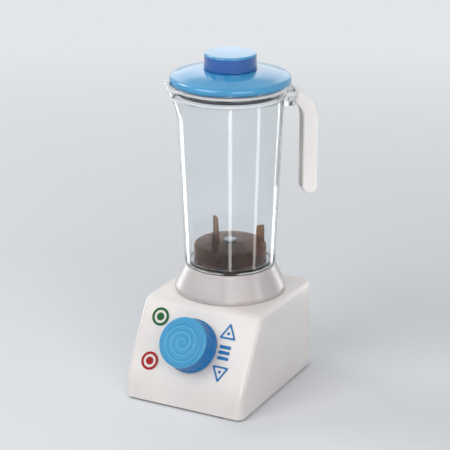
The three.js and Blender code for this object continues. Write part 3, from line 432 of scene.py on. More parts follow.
def clear(name, colour, deep):
    """Clear moulded plastic: a faint tint, soft flow waves and fine rub marks. A white band at the
    bead and at the rim is a painted highlight, and the plastic is a little hazy above the spinning cup."""
    bead_low, bead_high, bead_radius, bead_highlight_share = JAR_BEAD - 2.0, JAR_BEAD + 1.7, 46.5, 0.9
    rim_low, rim_radius, rim_highlight_share = JAR_RIM - 2.6, 48.6, 0.7
    finish = Finish(name)
    flow = finish.noise(scale=34, detail=2)
    rubbed = finish.steps(finish.noise(scale=90, detail=5, rough=0.7), (0.52, 0.0), (0.8, 1.0))
    glass = finish.node("ShaderNodeBsdfPrincipled", None, {
        "Base Color": finish.blend(flow, tint(colour), tint(deep)),
        "Roughness": 0.012 + rubbed * 0.03,
        "IOR": 1.4,
        "Transmission Weight": 1.0,
        "Normal": finish.bump(flow, 0.02, strength=0.4),
    })
    # White for the painted highlight bands at the bead and the rim, and for the haze.
    haze_and_highlight = finish.node("ShaderNodeBsdfPrincipled", None, {
        "Base Color": finish.blend(flow, tint("FBFCFD"), tint("F1F4F6")),
        "Roughness": 0.25 + rubbed * 0.1,
        "Normal": finish.bump(rubbed, 0.02, strength=0.3),
    })
    height = finish.axis(2)
    below_bead = 1 - (height > bead_low)
    # Painted highlight: white bands round the bead and round the rim's lip.
    bead = (height > bead_low) * (1 - (height > bead_high)) * (1 - finish.within(bead_radius))
    rim = (height > rim_low) * (1 - finish.within(rim_radius))
    haze = finish.steps((height - JAR_INSIDE) * 0.007, (0.2, 0.0), (0.45, 0.12))
    return finish.shown(finish.node("ShaderNodeMixShader", None, {
        0: haze * below_bead + bead * bead_highlight_share + rim * rim_highlight_share, 1: glass, 2: haze_and_highlight}))


def smoky(name, colour, deep):
    """Smoke-tinted see-through plastic with slow tints and fine scratches."""
    finish = Finish(name)
    flow = finish.noise(scale=34, detail=2)
    cloud = finish.noise(scale=70, detail=4, rough=0.6)
    scratched = finish.steps(finish.noise(scale=420, detail=5, rough=0.7), (0.5, 0.0), (0.75, 1.0))
    return finish.shown(finish.node("ShaderNodeBsdfPrincipled", None, {
        "Base Color": finish.blend(cloud, tint(colour), tint(deep)),
        "Roughness": 0.02 + scratched * 0.03,
        "IOR": 1.13,
        "Transmission Weight": 0.9,
        "Normal": finish.bump(flow, 0.02, strength=0.2),
    }))


def inked(name, colour, deep):
    """A raised symbol: inked on its top, bare white plastic in its groove and at its foot."""
    ink_height, ink_edge = 0.84, 0.12
    finish = Finish(name)
    ragged = finish.noise(scale=2600, detail=3)
    top = finish.off_panel() + (ragged - 0.5) * ink_edge > ink_height
    ink = finish.blend(finish.noise(scale=700, detail=4), tint(colour), tint(deep))
    return finish.shown(finish.node("ShaderNodeBsdfPrincipled", None, {
        "Base Color": finish.blend(top, tint(BARE_WHITE), ink),
        "Roughness": 0.4 - top * 0.06 + (ragged - 0.5) * 0.06,
        "Specular IOR Level": 0.2,
        "Normal": finish.bump(finish.noise(scale=1500, detail=3), 0.01, strength=0.5),
    }))


def metal(name, colour, roughness):
    """Plain drawn steel with fine turning marks."""
    finish = Finish(name)
    marks = finish.noise(scale=3800, detail=4, rough=0.7)
    base = finish.blend(finish.noise(scale=300, detail=4), tint(colour), tint("7F8287"))
    return finish.shown(finish.node("ShaderNodeBsdfPrincipled", None, {
        "Base Color": base,
        "Metallic": 1.0,
        "Roughness": roughness + (marks - 0.5) * 0.2,
        "Normal": finish.bump(marks, 0.006, strength=0.5),
    }))


def rubber(name):
    """Dull dark rubber with a coarse grit."""
    finish = Finish(name)
    grit = finish.noise(scale=2400, detail=5, rough=0.7)
    base = finish.blend(finish.noise(scale=260, detail=4), tint("2B2B2D"), tint("3A3938"))
    return finish.shown(finish.node("ShaderNodeBsdfPrincipled", None, {
        "Base Color": base,
        "Roughness": 0.74 + (grit - 0.5) * 0.2,
        "Normal": finish.bump(grit, 0.03, strength=0.6),
    }))


def painted_seat_shadow(finish):
    """The near-black arc painted on the collar's top round the jar's foot: painted shadow of the
    gap under the jar, seen through the clear foot. It is darkest on its outer ring."""
    outer, ring, depth, inner_loss = 38.7, 36.2, 1.4, 0.65
    return (finish.axis(2) > COLLAR_TOP - depth) * (finish.within(outer) - finish.within(ring) * inner_loss)


def painted_plug_shade(finish):
    """The part of the lid that sits inside the jar and the underside of its rim, painted dark as
    shade under the rim. A ramp's places are parts of a centimetre, from just under the seat."""
    above = (finish.axis(2) - LID_SEAT + 0.2) * 0.1
    return finish.steps(above, (0.0, 1.0), (0.08, 0.7), (0.34, 0.0))


def painted_grip_shade(finish):
    """The grip's upright side, painted a deeper blue than its top: painted shade on a side that
    takes less light. A ramp's places are parts of 20 mm above the lid."""
    return finish.steps((finish.axis(2) - LID_TOP) * 0.05, (0.57, 1.0), (0.65, 0.0))


def painted_knob_light(finish):
    """The knob's face, painted paler than its side as lit, with the spiral and the rounded edge
    painted paler still as highlights. A ramp's places are parts of a centimetre, with the face in the
    middle."""
    level = (finish.off_panel() - KNOB_FACE) * 0.1 + 0.5
    return finish.steps(level, (0.15, 0.0), (0.34, 0.36), (0.395, 0.8), (0.43, 0.8), (0.464, 0.36))


SHELL_WHITE = moulded("shell_white", BARE_WHITE, BARE_SHADE, 0.34, worn=0.08)
# Painted shade: the collar's white is the housing's plastic made greyer as in shade, and the near-black
# seat colour is painted shadow under the jar's foot.
COLLAR_SHADED_WHITE = moulded("collar_white", "C9C3C1", "BFB8B7", 0.30, shade=("120E0C", painted_seat_shadow))
HANDLE_WHITE = moulded("handle_white", "FFFBF8", "F8F3F0", 0.28, coat=0.2)
# Painted light and shade: the deep blue of the side is painted shade, and the paler face, spiral and edge
# are painted light.
KNOB_BLUE = moulded("knob_blue", "1478BA", "0F6CAE", 0.36, grain=0.02, sheen=0.3,
                    shade=("5FBDDB", painted_knob_light))
# Painted shade: the near-black navy on the plug and on the rim's underside.
LID_BLUE = moulded("lid_blue", LIGHT_BLUE, LIGHT_BLUE_DEEP, 0.2, grain=0.005, coat=0.6,
                   shade=("070D1F", painted_plug_shade))
# Painted shade: the grip's side is a darker copy of the lid's blue.
GRIP_BLUE = moulded("grip_blue", LIGHT_BLUE, LIGHT_BLUE_DEEP, 0.2, grain=0.005, coat=0.6,
                    shade=("1C5CA8", painted_grip_shade))
JAR_CLEAR = clear("jar_clear", "FBFDFE", "F6FAFC")
CUP_SMOKY = smoky("cup_smoky", "96602E", "835022")
DARK_PLASTIC = moulded("dark_plastic", "14110F", "0E0B0A", 0.42, grain=0.03)
INNER_PLASTIC = moulded("inner_plastic", "C9C3B6", "BBB4A5", 0.5, grain=0.03)
STEEL = metal("steel", "A6A9AD", 0.34)
RUBBER = rubber("feet_rubber")
GREEN_INK = inked("green_ink", "04602A", "035222")
RED_INK = inked("red_ink", "B0000C", "98000A")
BLUE_INK = inked("blue_ink", "2A7BB6", "206EAA")


# Base

def housing_edge(first, second):
    """The radius of a housing edge from its two ends: an edge across it, one up its front or
    back, or one along its side."""
    skirt_edge, panel_edge, back_edge, front_corner, side_edge, foot_edge = 7.0, 6.0, 7.0, 6.0, 5.0, 0.0
    if abs(first.x - second.x) > NEAR:
        radius = panel_edge if first.y < 0 else back_edge
        return {HOUSING_FOOT: foot_edge, SKIRT_TOP: skirt_edge}.get(round(first.z, 1), radius)
    if max(first.y, second.y) < SKIRT_FRONT + NEAR:
        return front_corner
    if min(first.y, second.y) > HOUSING_BACK - NEAR:
        return HOUSING_WIDEST_EDGE
    return foot_edge if min(first.z, second.z) < HOUSING_FOOT + NEAR else side_edge


def base_housing():
    """The shell: a sloped front panel over an upright skirt, open below, soft all round."""
    front, panel_back, half, wall_depth = -88.5, -51.5, 56.0, 2.4
    side = [(front, HOUSING_FOOT), (SKIRT_FRONT, SKIRT_TOP), (panel_back, BASE_TOP),
            (HOUSING_BACK, BASE_TOP), (HOUSING_BACK, HOUSING_FOOT)]
    vertices = [(-half, y, z) for y, z in side] + [(half, y, z) for y, z in side]
    faces = [[0, 1, 2, 3, 4], [9, 8, 7, 6, 5]] + [[i, i + 5, i + 6, i + 1] for i in range(4)]
    shell = made("housing_shell", vertices, faces)
    weigh_edges(shell, lambda first, second: housing_edge(first, second) / HOUSING_WIDEST_EDGE)
    softened(shell, HOUSING_WIDEST_EDGE, segments=10, weighted=True)
    applied(shell)
    walled(shell, wall_depth)
    softened(shell, 0.45, segments=3, angle=70)
    merged(applied(shell))
    return dressed(shell, "base", SHELL_WHITE, "white_shell", "base_housing", weighted=True)


def plate_screws():
    """Four screws up into the housing's posts, then two up into the gear bracket."""
    side, front, back = 44, -60, 27
    bracket_side, bracket_front = 17, -54
    return [(-side, front), (side, front), (side, back), (-side, back),
            (-bracket_side, bracket_front), (bracket_side, bracket_front)]


def foot_places():
    """Where the four rubber feet stand, near the plate's corners."""
    side, front, back = 42, -76, 42
    return [(-side, front), (side, front), (side, back), (-side, back)]


def plate_cuts():
    """The wells for the plate's screws and the seats for its feet."""
    over, head, shank, head_depth = 2, 3.5, 1.7, 1.7
    well = [(0, -over), (head, -over), (head, head_depth), (shank, head_depth),
            (shank, PLATE_TOP + over), (0, PLATE_TOP + over)]
    foot, foot_depth = 6.8, 0.8
    seat = [(0, -over), (foot, -over), (foot, foot_depth), (0, foot_depth)]
    wells = [turned("well", well, sides=40, place=at(x, y)) for x, y in plate_screws()]
    return wells + [turned("seat", seat, sides=64, place=at(x, y)) for x, y in foot_places()]


def base_plate():
    """The flat plate that closes the housing, with the drive shaft's post on it."""
    half, front, back, front_round, back_round = 52.3, -84.8, 49.3, 2.6, 7
    outline = rounded([[-half, front, front_round], [half, front, front_round],
                       [half, back, back_round], [-half, back, back_round]], steps=10)
    plate = prism("plate", outline, 0, PLATE_TOP)
    bore, bore_floor, post, post_top, post_root = 4.3, 5.7, 7, 15, 2
    wall = [[bore, bore_floor], [bore, post_top, 0.5], [post, post_top, 0.8], [post, post_root]]
    profile = rounded(wall) + [(0, post_root), (0, bore_floor)]
    worked(plate, "UNION", turned("post", profile, sides=64))
    worked(plate, "DIFFERENCE", *plate_cuts())
    softened(plate, 0.3, segments=2, angle=60)
    applied(plate)
    return dressed(plate, "base", SHELL_WHITE, "white_shell", "base_plate", weighted=True)


def feet():
    """Four thin rubber pads, with a shallow ring groove in each sole."""
    sole, groove, top, radius = FOOT_SOLE, -1.2, 0.5, 6.5
    groove_in, groove_out, bank = 4.2, 5.3, 0.3
    profile = rounded([
        [0, sole], [groove_in, sole, 0.2], [groove_in + bank, groove, 0.2],
        [groove_out - bank, groove, 0.2], [groove_out, sole, 0.2],
        [radius, sole, 0.7], [radius, top, 0.2], [0, top],
    ], steps=4)
    for i, (x, y) in enumerate(foot_places()):
        foot = turned(f"foot_pad_{i + 1}", profile, sides=72, place=at(x, y))
        dressed(foot, "base", RUBBER, "feet_rubber", f"foot_{i + 1}")


def screw(name, node, body, place):
    """A pan-head screw that points up, with a cross in its head and a thread on its shank."""
    crown, head, crown_depth, head_depth, length = 2.6, 3.2, 0.7, 1.4, 11
    pan = rounded([[0, 0], [crown, 0, 0.4], [head, crown_depth, 0.5], [head, head_depth, 0.1]], steps=5)
    first, pitch, turns, crest, root = 2.0, 0.9, 9, 1.4, 1.05
    thread = []
    for turn in range(turns):
        z = first + pitch * turn
        thread += [(crest, z), (root, z + pitch / 2)]
    whole = turned(name, pan + thread + [(0, length)], sides=40)
    reach, half, depth = 2.1, 0.45, 0.75
    arms = [prism("arm", box_outline(-reach, -half, reach, half), -1, depth, spun(angle))
            for angle in (0, math.pi / 2)]
    worked(whole, "DIFFERENCE", *arms)
    whole.data.transform(place)
    return dressed(whole, body, STEEL, "steel", node)


def screws():
    """The plate's six screws, with their crosses turned unevenly, and the handle's one."""
    uneven, head_height = 0.37, 243.3
    names = [f"base_screw_{i}" for i in range(1, 5)] + ["bracket_screw_1", "bracket_screw_2"]
    for name, (x, y) in zip(names, plate_screws()):
        screw(f"{name}_turned", name, "base", at(x, y) @ spun(uneven * x))
    place = spun(JAR_TURN) @ at(HANDLE_SCREW, 0, head_height)
    screw("handle_screw_turned", "handle_screw", "jar", place)


# Panel

def on_panel(x=0, y=0):
    """The place of a symbol: X across the panel, Y up it and Z out of it."""
    basis = Matrix((Vector((1, 0, 0)), PANEL_UP, PANEL_OUT)).transposed().to_4x4()
    return at(*KNOB_CENTRE) @ basis @ at(x, y)


def panel_button(name, y, finish, slot, node):
    """A raised ring round a raised dot, with a groove between them."""
    ring, ring_in, dot, crown, crown_top = 8, 5.7, 3.5, 1.7, 1.2
    profile = rounded([
        [0, SYMBOL_ROOT], [ring, SYMBOL_ROOT], [ring, SYMBOL_TOP, 0.35], [ring_in, SYMBOL_TOP, 0.2],
        [ring_in, SYMBOL_GROOVE, 0.15], [dot, SYMBOL_GROOVE, 0.15], [dot, SYMBOL_TOP, 0.3],
    ], steps=5) + [(crown, crown_top - 0.03), (0, crown_top)]
    button = turned(name, profile, sides=96, place=on_panel(BUTTON_SIDE, y))
    return dressed(button, "base", finish, slot, node)


def ribbon(name, outer, inner, dot):
    """A raised border round a shallow window with a raised dot in it."""
    cut_top = 3
    plate = prism(name, outer, SYMBOL_ROOT, SYMBOL_TOP)
    worked(plate, "DIFFERENCE", prism("window", inner, SYMBOL_GROOVE, cut_top))
    worked(plate, "UNION", prism("dot", dot, 0, SYMBOL_TOP))
    softened(plate, 0.16, segments=3, angle=50)
    return applied(plate)


def triangle(inset, radius):
    """An arrow's outline, moved in from its edges."""
    lean = math.hypot(ARROW_HALF, ARROW_TALL)
    side = ARROW_HALF - inset * (lean + ARROW_HALF) / ARROW_TALL
    tip = ARROW_LOW + ARROW_TALL - inset * lean / ARROW_HALF
    return rounded([[-side, ARROW_LOW + inset, radius], [side, ARROW_LOW + inset, radius],
                    [0, tip, radius]], steps=6)


def panel_arrow(name, turn, node):
    """A blue arrow with a dot in it, turned round from pointing up the panel."""
    border, dot = 1.6, 1.35
    middle = ARROW_LOW + ARROW_TALL / 3
    spot = arc(0, middle, dot, 0, TURN, steps=32)[:-1]
    arrow = ribbon(name, triangle(0, 0.9), triangle(border, 0.5), spot)
    arrow.data.transform(on_panel(SYMBOL_SIDE) @ spun(turn))
    return dressed(arrow, "base", BLUE_INK, "symbol_blue", node)


def panel_bars():
    """Three blue bars between the arrows."""
    pitch, half_length, half_width = 4.8, 5.2, 1.45
    outline = box_outline(-half_length, -half_width, half_length, half_width, radius=0.8)
    for i, y in enumerate((-pitch, 0, pitch)):
        bar = prism(f"bar_{i + 1}", outline, SYMBOL_ROOT, SYMBOL_TOP)
        softened(bar, 0.2, segments=3, angle=50)
        applied(bar)
        bar.data.transform(on_panel(SYMBOL_SIDE, y))
        dressed(bar, "base", BLUE_INK, "symbol_blue", f"speed_bar_{i + 1}")


def groove_depth(radius, angle):
    """How deep the face's spiral groove is at a point. It fades out at both of its ends."""
    start, pitch, turns, half, deepest = 2.2, 5.1, 3, 1.35, 0.7
    inner_end, inner_fade, outer_end, outer_fade = 1.3, 1.5, 18.4, 1.2
    along = angle / TURN % 1.0
    nearest = min(abs(radius - start - pitch * (along + turn)) for turn in range(turns))
    if nearest >= half:
        return 0.0
    share = ramp(radius - inner_end, inner_fade) * ramp(outer_end - radius, outer_fade)
    return deepest * share * (0.5 + 0.5 * math.cos(math.pi * nearest / half))


def knob_shape(x, y, z):
    """Sinks the groove and a slight dish into the knob's face, and flutes into its side."""
    dish, flutes, deepest, fluted_from = 0.35, 18, 0.7, 20
    flute_low, low_fade, flute_top, top_fade = 4.4, 1.6, KNOB_FACE - 1.6, 4.5
    radius, angle = math.hypot(x, y), math.atan2(y, x)
    if z > KNOB_FACE - NEAR and radius < KNOB_FLAT + NEAR:
        z -= groove_depth(radius, angle)
        z -= dish * max(0.0, 1 - (radius / KNOB_FLAT) ** 2)
    elif radius > fluted_from and flute_low < z < KNOB_FACE - NEAR:
        fade = ramp(z - flute_low, low_fade) * ramp(flute_top - z, top_fade)
        share = 1 - fade * deepest * (0.5 - 0.5 * math.cos(flutes * angle)) / radius
        x, y = x * share, y * share
    return x, y, z


def knob():
    """The turning knob: a spiral groove on its face and soft flutes round its side."""
    face, grip, skirt, foot, hub, bore, bore_top = KNOB_FACE, 21.7, 23.4, 1.4, 8.4, 5.3, 16.3
    side = rounded([
        [16.0, face], [grip, face, 2.6], [22.7, 6.4, 1.2], [skirt, 4.8, 1.0], [skirt, foot, 0.6],
        [21.4, foot, 0.4], [19.4, 17.4, 1], [hub, 19.6, 1], [hub, 0.3, 0.3], [bore, 0.3],
        [bore, bore_top], [0, bore_top],
    ], steps=7)
    side = divided(side[1:-1], longest=0.9) + [side[-1]]
    step = 0.28
    rings = [(step * k, face) for k in range(68)] + [(KNOB_FLAT, face)]
    whole = turned("knob_fluted", rings + side, sides=360, place=on_panel(), shaped=knob_shape)
    return dressed(whole, "knob", KNOB_BLUE, "knob_blue", "knob", sharp=50)


# Collar and drive

def collar():
    """The hollow tapered ring, with a slotted socket for the jar's neck and a spigot below."""
    spigot, spigot_in, spigot_low, floor_low = 24, 22, 76.5, 88.8
    socket, socket_back, hole, roof = 31.6, 35, 8.6, 102.5
    skirt, skirt_in, skirt_low = 48, 45.8, 81.8
    profile = rounded([
        [spigot_in, spigot_low], [spigot, spigot_low, 0.4], [spigot, floor_low],
        [socket_back, floor_low], [socket_back, roof], [37.6, roof], [45.3, 85.8],
        [skirt_in, skirt_low, 0.3], [skirt, skirt_low, 0.5], [47.9, 85.4, 3.2], [40.3, 102.2, 2.4],
        [39.4, COLLAR_TOP, 1.7], [32.3, COLLAR_TOP, 0.7], [socket, 104.6, 0.5],
        [socket, COLLAR_FLOOR, 0.8], [hole, COLLAR_FLOOR, 0.3], [hole, floor_low],
        [spigot_in, floor_low],
    ], steps=8)
    ring = turned("collar_ring", profile, sides=192)
    slot_in, slot_out, half, slot_low, slot_top = 30.5, 33.1, 3.3, 93.2, 115
    outline = box_outline(slot_in, -half, slot_out, half, radius=0.4)
    slots = [prism("slot", outline, slot_low, slot_top, spun(angle)) for angle in lug_angles()]
    worked(ring, "DIFFERENCE", *slots)
    return dressed(ring, "base", COLLAR_SHADED_WHITE, "collar_white", "jar_collar")


def hexagon(radius, soft):
    """A hexagon's outline, by the radius of its corners and of their rounding."""
    angles = [TURN * k / 6 for k in range(6)]
    corners = [[radius * math.cos(angle), radius * math.sin(angle), soft] for angle in angles]
    return rounded(corners, steps=4)


def upper_bush():
    """The flanged bush in the collar's floor that the drive shaft turns in."""
    bore, flange, sleeve, low, flange_top = 4.3, 10.5, 8.3, 86.9, 88.5
    bush = turned("upper_bush_turned", rounded([
        [bore, low], [flange, low, 0.3], [flange, flange_top, 0.3], [sleeve, flange_top],
        [sleeve, COLLAR_FLOOR, 0.3], [bore, COLLAR_FLOOR, 0.3],
    ]), sides=72)
    dressed(bush, "base", INNER_PLASTIC, "inner_plastic", "upper_bush")


def drive_shaft():
    """The upright steel shaft from the plate's post to the dog."""
    low, radius = 6, 4
    shaft = turned("drive_shaft_turned", rounded([
        [0, low], [radius, low, 0.8], [radius, SHAFT_TOP, 0.8], [0, SHAFT_TOP],
    ]), sides=64)
    dressed(shaft, "drive", STEEL, "steel", "drive_shaft")


def drive_dog():
    """The hexagon dog on the shaft's top, which goes up into the jar's coupling."""
    disc, low, disc_top, hex_top = 11, 91.5, 93.5, 100.9
    dog = turned("dog", rounded([
        [0, low], [disc, low, 0.3], [disc, disc_top, 0.5], [0, disc_top]]), sides=96)
    hub = prism("hex", hexagon(6.2, 0.7), 92, hex_top)
    softened(hub, 0.3, segments=2, angle=55)
    worked(dog, "UNION", applied(hub))
    bore, bore_low, bore_top = 4.3, 90, SHAFT_TOP + GAP
    hollow = [(0, bore_low), (bore, bore_low), (bore, bore_top), (0, bore_top)]
    worked(dog, "DIFFERENCE", turned("bore", hollow, sides=64))
    dog.name = "drive_dog_soft"
    dressed(dog, "drive", DARK_PLASTIC, "dark_plastic", "drive_dog")


# Jar

def spouted(x, y, z):
    """Draws the rim out into the pouring lip, towards -X."""
    start, half_angle, inside, tip_from = JAR_BEAD - 20, math.radians(28), 31, 0.72
    reach, reach_power, height, height_power = 7.8, 1.3, 5.15, 2.6
    radius = math.hypot(x, y)
    off = abs(math.atan2(y, -x)) / half_angle
    climb = (z - start) / (JAR_RIM - start)
    if off >= 1 or climb <= 0 or radius <= inside:
        return x, y, z
    bell = math.cos(math.pi / 2 * off) ** 2
    grown = radius + reach * bell * climb ** reach_power
    lift = max(bell - tip_from, 0) / (1 - tip_from)
    rise = height * lift * lift * (3 - 2 * lift) * climb ** height_power
    return x * grown / radius, y * grown / radius, z + rise


def jar_bracket():
    """The block on the jar's wall that takes the handle's tongue."""
    inner, outer, half, low, top = 40, 54, 12, 245.0, 259.8
    block = prism("block", box_outline(inner, -half, outer, half, radius=1.6), low, top)
    softened(block, 0.8, segments=3, angle=60)
    applied(block)
    core_low, core_wide = 45.0, 47.2
    core = [(0, 100), (core_low, 100), (core_low, 253.1), (core_wide, 256.4), (core_wide, 270), (0, 270)]
    worked(block, "DIFFERENCE", turned("core", core, sides=96))
    block.data.transform(spun(JAR_TURN))
    return block


def bracket_cuts():
    """The pocket for the handle's tongue and the pilot hole for its screw."""
    place = spun(JAR_TURN)
    inner, outer, half, low, top = 48.7, 58, 6.3, 247.7, 256.3
    pocket = prism("pocket", box_outline(inner, -half, outer, half, radius=0.3), low, top, place)
    radius, low, top = 1.7, 240, 252
    pilot = [(0, low), (radius, low), (radius, top), (0, top)]
    return [pocket, turned("pilot", pilot, sides=24, place=place @ at(HANDLE_SCREW, 0))]


def jar():
    """The clear tapered tube with its bead, rim and lip, its neck and lugs, and its bracket."""
    hole, neck, neck_in, neck_low = 5.6, 31.0, 28.8, 92.6
    mouth, rim, band = 46.1, 49.7, 48.3
    wall = rounded([
        [hole, JAR_INSIDE, 0.2], [37.2, JAR_INSIDE, 3.4], [43.9, 253.1, 3], [mouth, 256.6, 2.2],
        [mouth, JAR_RIM, 0.8], [rim, JAR_RIM, 0.9], [rim, 262.6, 0.9], [band, 261.0, 0.9],
        [band, 256.2, 0.7], [47.4, JAR_BEAD, 0.6], [46.1, 254.3, 1.0], [39.4, JAR_SEAT, 1.7],
        [neck, JAR_SEAT, 0.7], [neck, neck_low, 0.6], [neck_in, neck_low, 0.6],
        [neck_in, JAR_SEAT, 0.7], [hole, JAR_SEAT, 0.2],
    ])
    profile = divided(wall, longest=3.0)
    tube = turned("jar_tube", profile, sides=224, place=spun(JAR_TURN), shaped=spouted)
    lug_in, lug_out, half, lug_low, lug_top = 29.9, 32.8, 3, 97.0, 105.0
    outline = box_outline(lug_in, -half, lug_out, half, radius=0.5)
    lugs = [prism("lug", outline, lug_low, lug_top, spun(angle)) for angle in lug_angles()]
    worked(tube, "UNION", jar_bracket(), *lugs)
    worked(tube, "DIFFERENCE", *bracket_cuts())
    return dressed(tube, "jar", JAR_CLEAR, "jar_clear", "jar", sharp=40)


def j_outline(outer_in, inner_in, tip_in, start_x, end_angle=None):
    """The handle's J in its own plane: X away from the jar, Y up. The first three values move
    its outer side, its inner side and its tip in. It ends at start_x, or at the end angle."""
    middle_x, middle_z = 47.75, JAR_RIM - 32.5
    outer, inner = 27.65 - outer_in, 14.35 + inner_in
    tip_z = JAR_RIM - 94.5 + tip_in
    outer_end = end_angle or math.acos((start_x - middle_x) / outer)
    inner_end = end_angle or math.acos((start_x - middle_x) / inner)
    return (arc(middle_x + (outer + inner) / 2, tip_z, (outer - inner) / 2, math.pi, TURN, steps=24)
            + arc(middle_x, middle_z, outer, 0, outer_end, steps=32)
            + arc(middle_x, middle_z, inner, inner_end, 0, steps=32))


def handle():
    """The open J, hollow on its inner side, with its tongue in the jar's bracket."""
    half, hollow_half, wall, over, edge = 8.2, 5.7, 3.0, 2, 2.4
    outside = j_outline(outer_in=0.1, inner_in=0, tip_in=0, start_x=54.3)
    bar = prism("handle_bar", outside, -half, half)
    weigh_edges(bar, lambda first, second: float(abs(first.z - second.z) < NEAR))
    softened(bar, edge, segments=8, weighted=True)
    applied(bar)
    inside = j_outline(wall, -over, wall, start_x=0, end_angle=math.radians(52))
    worked(bar, "DIFFERENCE", prism("hollow", inside, -hollow_half, hollow_half))
    softened(bar, 0.35, segments=3, angle=60)
    applied(bar)
    bar.data.transform(upright())
    inner, outer, half, low, top = 49.3, 60, 6, 248.0, 256.0
    tongue = prism("tongue", box_outline(inner, -half, outer, half, radius=0.5), low, top)
    worked(bar, "UNION", tongue)
    bar.data.transform(spun(JAR_TURN))
    return dressed(bar, "jar", HANDLE_WHITE, "handle_white", "handle", weighted=True)


def spindle_bush():
    """The flanged bush in the jar's floor that the cup's spindle turns in."""
    bore, flange, sleeve, low, flange_top = 3.3, 7.3, 5.3, 104.7, 105.5
    bush = turned("spindle_bush_turned", rounded([
        [bore, low], [flange, low, 0.2], [flange, flange_top, 0.2], [sleeve, flange_top],
        [sleeve, JAR_INSIDE, 0.2], [bore, JAR_INSIDE, 0.2],
    ]), sides=64)
    dressed(bush, "jar", INNER_PLASTIC, "inner_plastic", "spindle_bush")


# Spinning cup

def cup_fins():
    """Three upright fins on the cup's top."""
    first, count, half = 27, 3, 1
    inner, outer, foot, rise, lean = 21.2, 29.6, CUP_TOP - 2.9, 17.5, 1.6
    outline = rounded([
        [inner, foot], [outer, foot], [outer, foot + rise, 1.2], [inner + lean, foot + rise - 0.9, 1.2],
    ], steps=6)
    fins = []
    for fin in range(count):
        angle = math.radians(first + 360 / count * fin)
        blade = prism("fin", outline, -half, half, spun(angle) @ upright())
        softened(blade, 0.45, segments=3, angle=60)
        fins.append(applied(blade))
    return fins


def rotor_cup():
    """The smoky cup upside down over its blades."""
    bore, hub, inner, outer, bottom, hub_low, top = 3.3, 6.4, 29.7, 31.5, 109.7, 110.5, CUP_TOP
    profile = rounded([
        [bore, hub_low], [hub, hub_low, 0.3], [hub, top - 1.8, 0.8], [27.7, top - 3.8, 1.2],
        [inner, top - 5.8, 0.6], [inner, bottom, 0.4], [outer, bottom, 0.5], [outer, top - 2, 2.2],
        [hub, top, 2], [bore, top, 0.3],
    ], steps=7)
    cup = turned("cup_drum", profile, sides=160)
    worked(cup, "UNION", *cup_fins())
    return dressed(cup, "rotor", CUP_SMOKY, "cup_smoky", "rotor_cup", sharp=40)


def rotor_blades():
    """The dark cross of four blades on a sleeve."""
    bore, radius, low, high, count = 6.7, 8.5, 110.5, 119.5, 4
    sleeve = turned("blades_cross", rounded([
        [bore, low, 0.2], [radius, low, 0.3], [radius, high, 0.5], [bore, high, 0.2],
    ], steps=4), sides=72)
    root, reach, reach_high, half = 7.6, 26, 113.65, 0.9
    outline = rounded([[root, low], [reach, low, 0.8], [reach, reach_high, 1.2], [root, high]], steps=5)
    blades = [prism("blade", outline, -half, half, spun(blade * TURN / count) @ upright())
              for blade in range(count)]
    worked(sleeve, "UNION", *blades)
    dressed(sleeve, "rotor", DARK_PLASTIC, "dark_plastic", "rotor_blades")


def rotor_spindle():
    """The steel spindle, with the small round head that shows above the cup."""
    shank, head, low, head_low, top = 3, 5.2, 102.5, 124.4, 126.0
    spindle = turned("spindle_turned", rounded([
        [0, low], [shank, low, 0.3], [shank, head_low], [head, head_low, 0.2], [head, top, 0.9], [0, top],
    ], steps=6), sides=64)
    dressed(spindle, "rotor", STEEL, "steel", "rotor_spindle")


def jar_coupling():
    """The disc under the jar's floor, with a hexagon socket for the drive dog."""
    hole, radius, low, top, socket_top = 3.3, 12, 95.5, 104.1, 101.9
    disc = turned("coupling_disc", rounded([
        [hole, low], [radius, low, 0.6], [radius, top, 0.6], [hole, top]]), sides=96)
    worked(disc, "DIFFERENCE", prism("socket", hexagon(6.7, 0.6), 93, socket_top))
    dressed(disc, "rotor", DARK_PLASTIC, "dark_plastic", "jar_coupling")


# Lid

def crown(first, last, top, steps):
    """The dome's points, which fall away from its top towards its rim."""
    drop = 4.2
    shares = [k / steps for k in range(steps + 1)]
    return [[first + (last - first) * share, top - drop * share ** 2] for share in shares]


def lid():
    """The domed lid: a soft crown, a thick round rim, and a plug that sits in the jar."""
    hole, crown_start, rim, plug, plug_in, wall = 19.2, 22.5, 51.6, 45.6, 43.4, 2.3
    shoulder, plug_low = LID_SEAT + 6.5, LID_SEAT - 7.4
    inside = crown(crown_start, plug_in, LID_TOP - wall, 16)[::-1]
    profile = rounded([
        [hole, LID_TOP, 0.4], *crown(crown_start, 45.4, LID_TOP, 26), [rim, shoulder, 5],
        [rim, LID_SEAT, 1.5], [plug, LID_SEAT, 0.3], [plug, plug_low, 0.8],
        [plug_in, plug_low, 0.5], *inside, [hole, LID_TOP - wall, 0.3],
    ], steps=8)
    dome = turned("lid_dome", profile, sides=224)
    return dressed(dome, "lid", LID_BLUE, "lid_blue", "lid")


def lid_grip():
    """The hollow round grip, with a spigot that goes down through the lid."""
    low = LID_TOP + GAP
    top = low + 13.4
    roof, spigot_low = top - 2.2, low - 4
    bore, spigot, foot, head = 16.7, 18.9, 22.5, 22.1
    profile = rounded([
        [0, roof], [bore, roof, 1.0], [bore, spigot_low, 0.4], [spigot, spigot_low, 0.4],
        [spigot, low], [foot, low, 0.4], [head, top, 1.9], [0, top],
    ], steps=9)
    grip = turned("grip_round", profile, sides=192)
    return dressed(grip, "lid", GRIP_BLUE, "lid_blue", "lid_grip")


# Inner nodes that keep their CAD shape

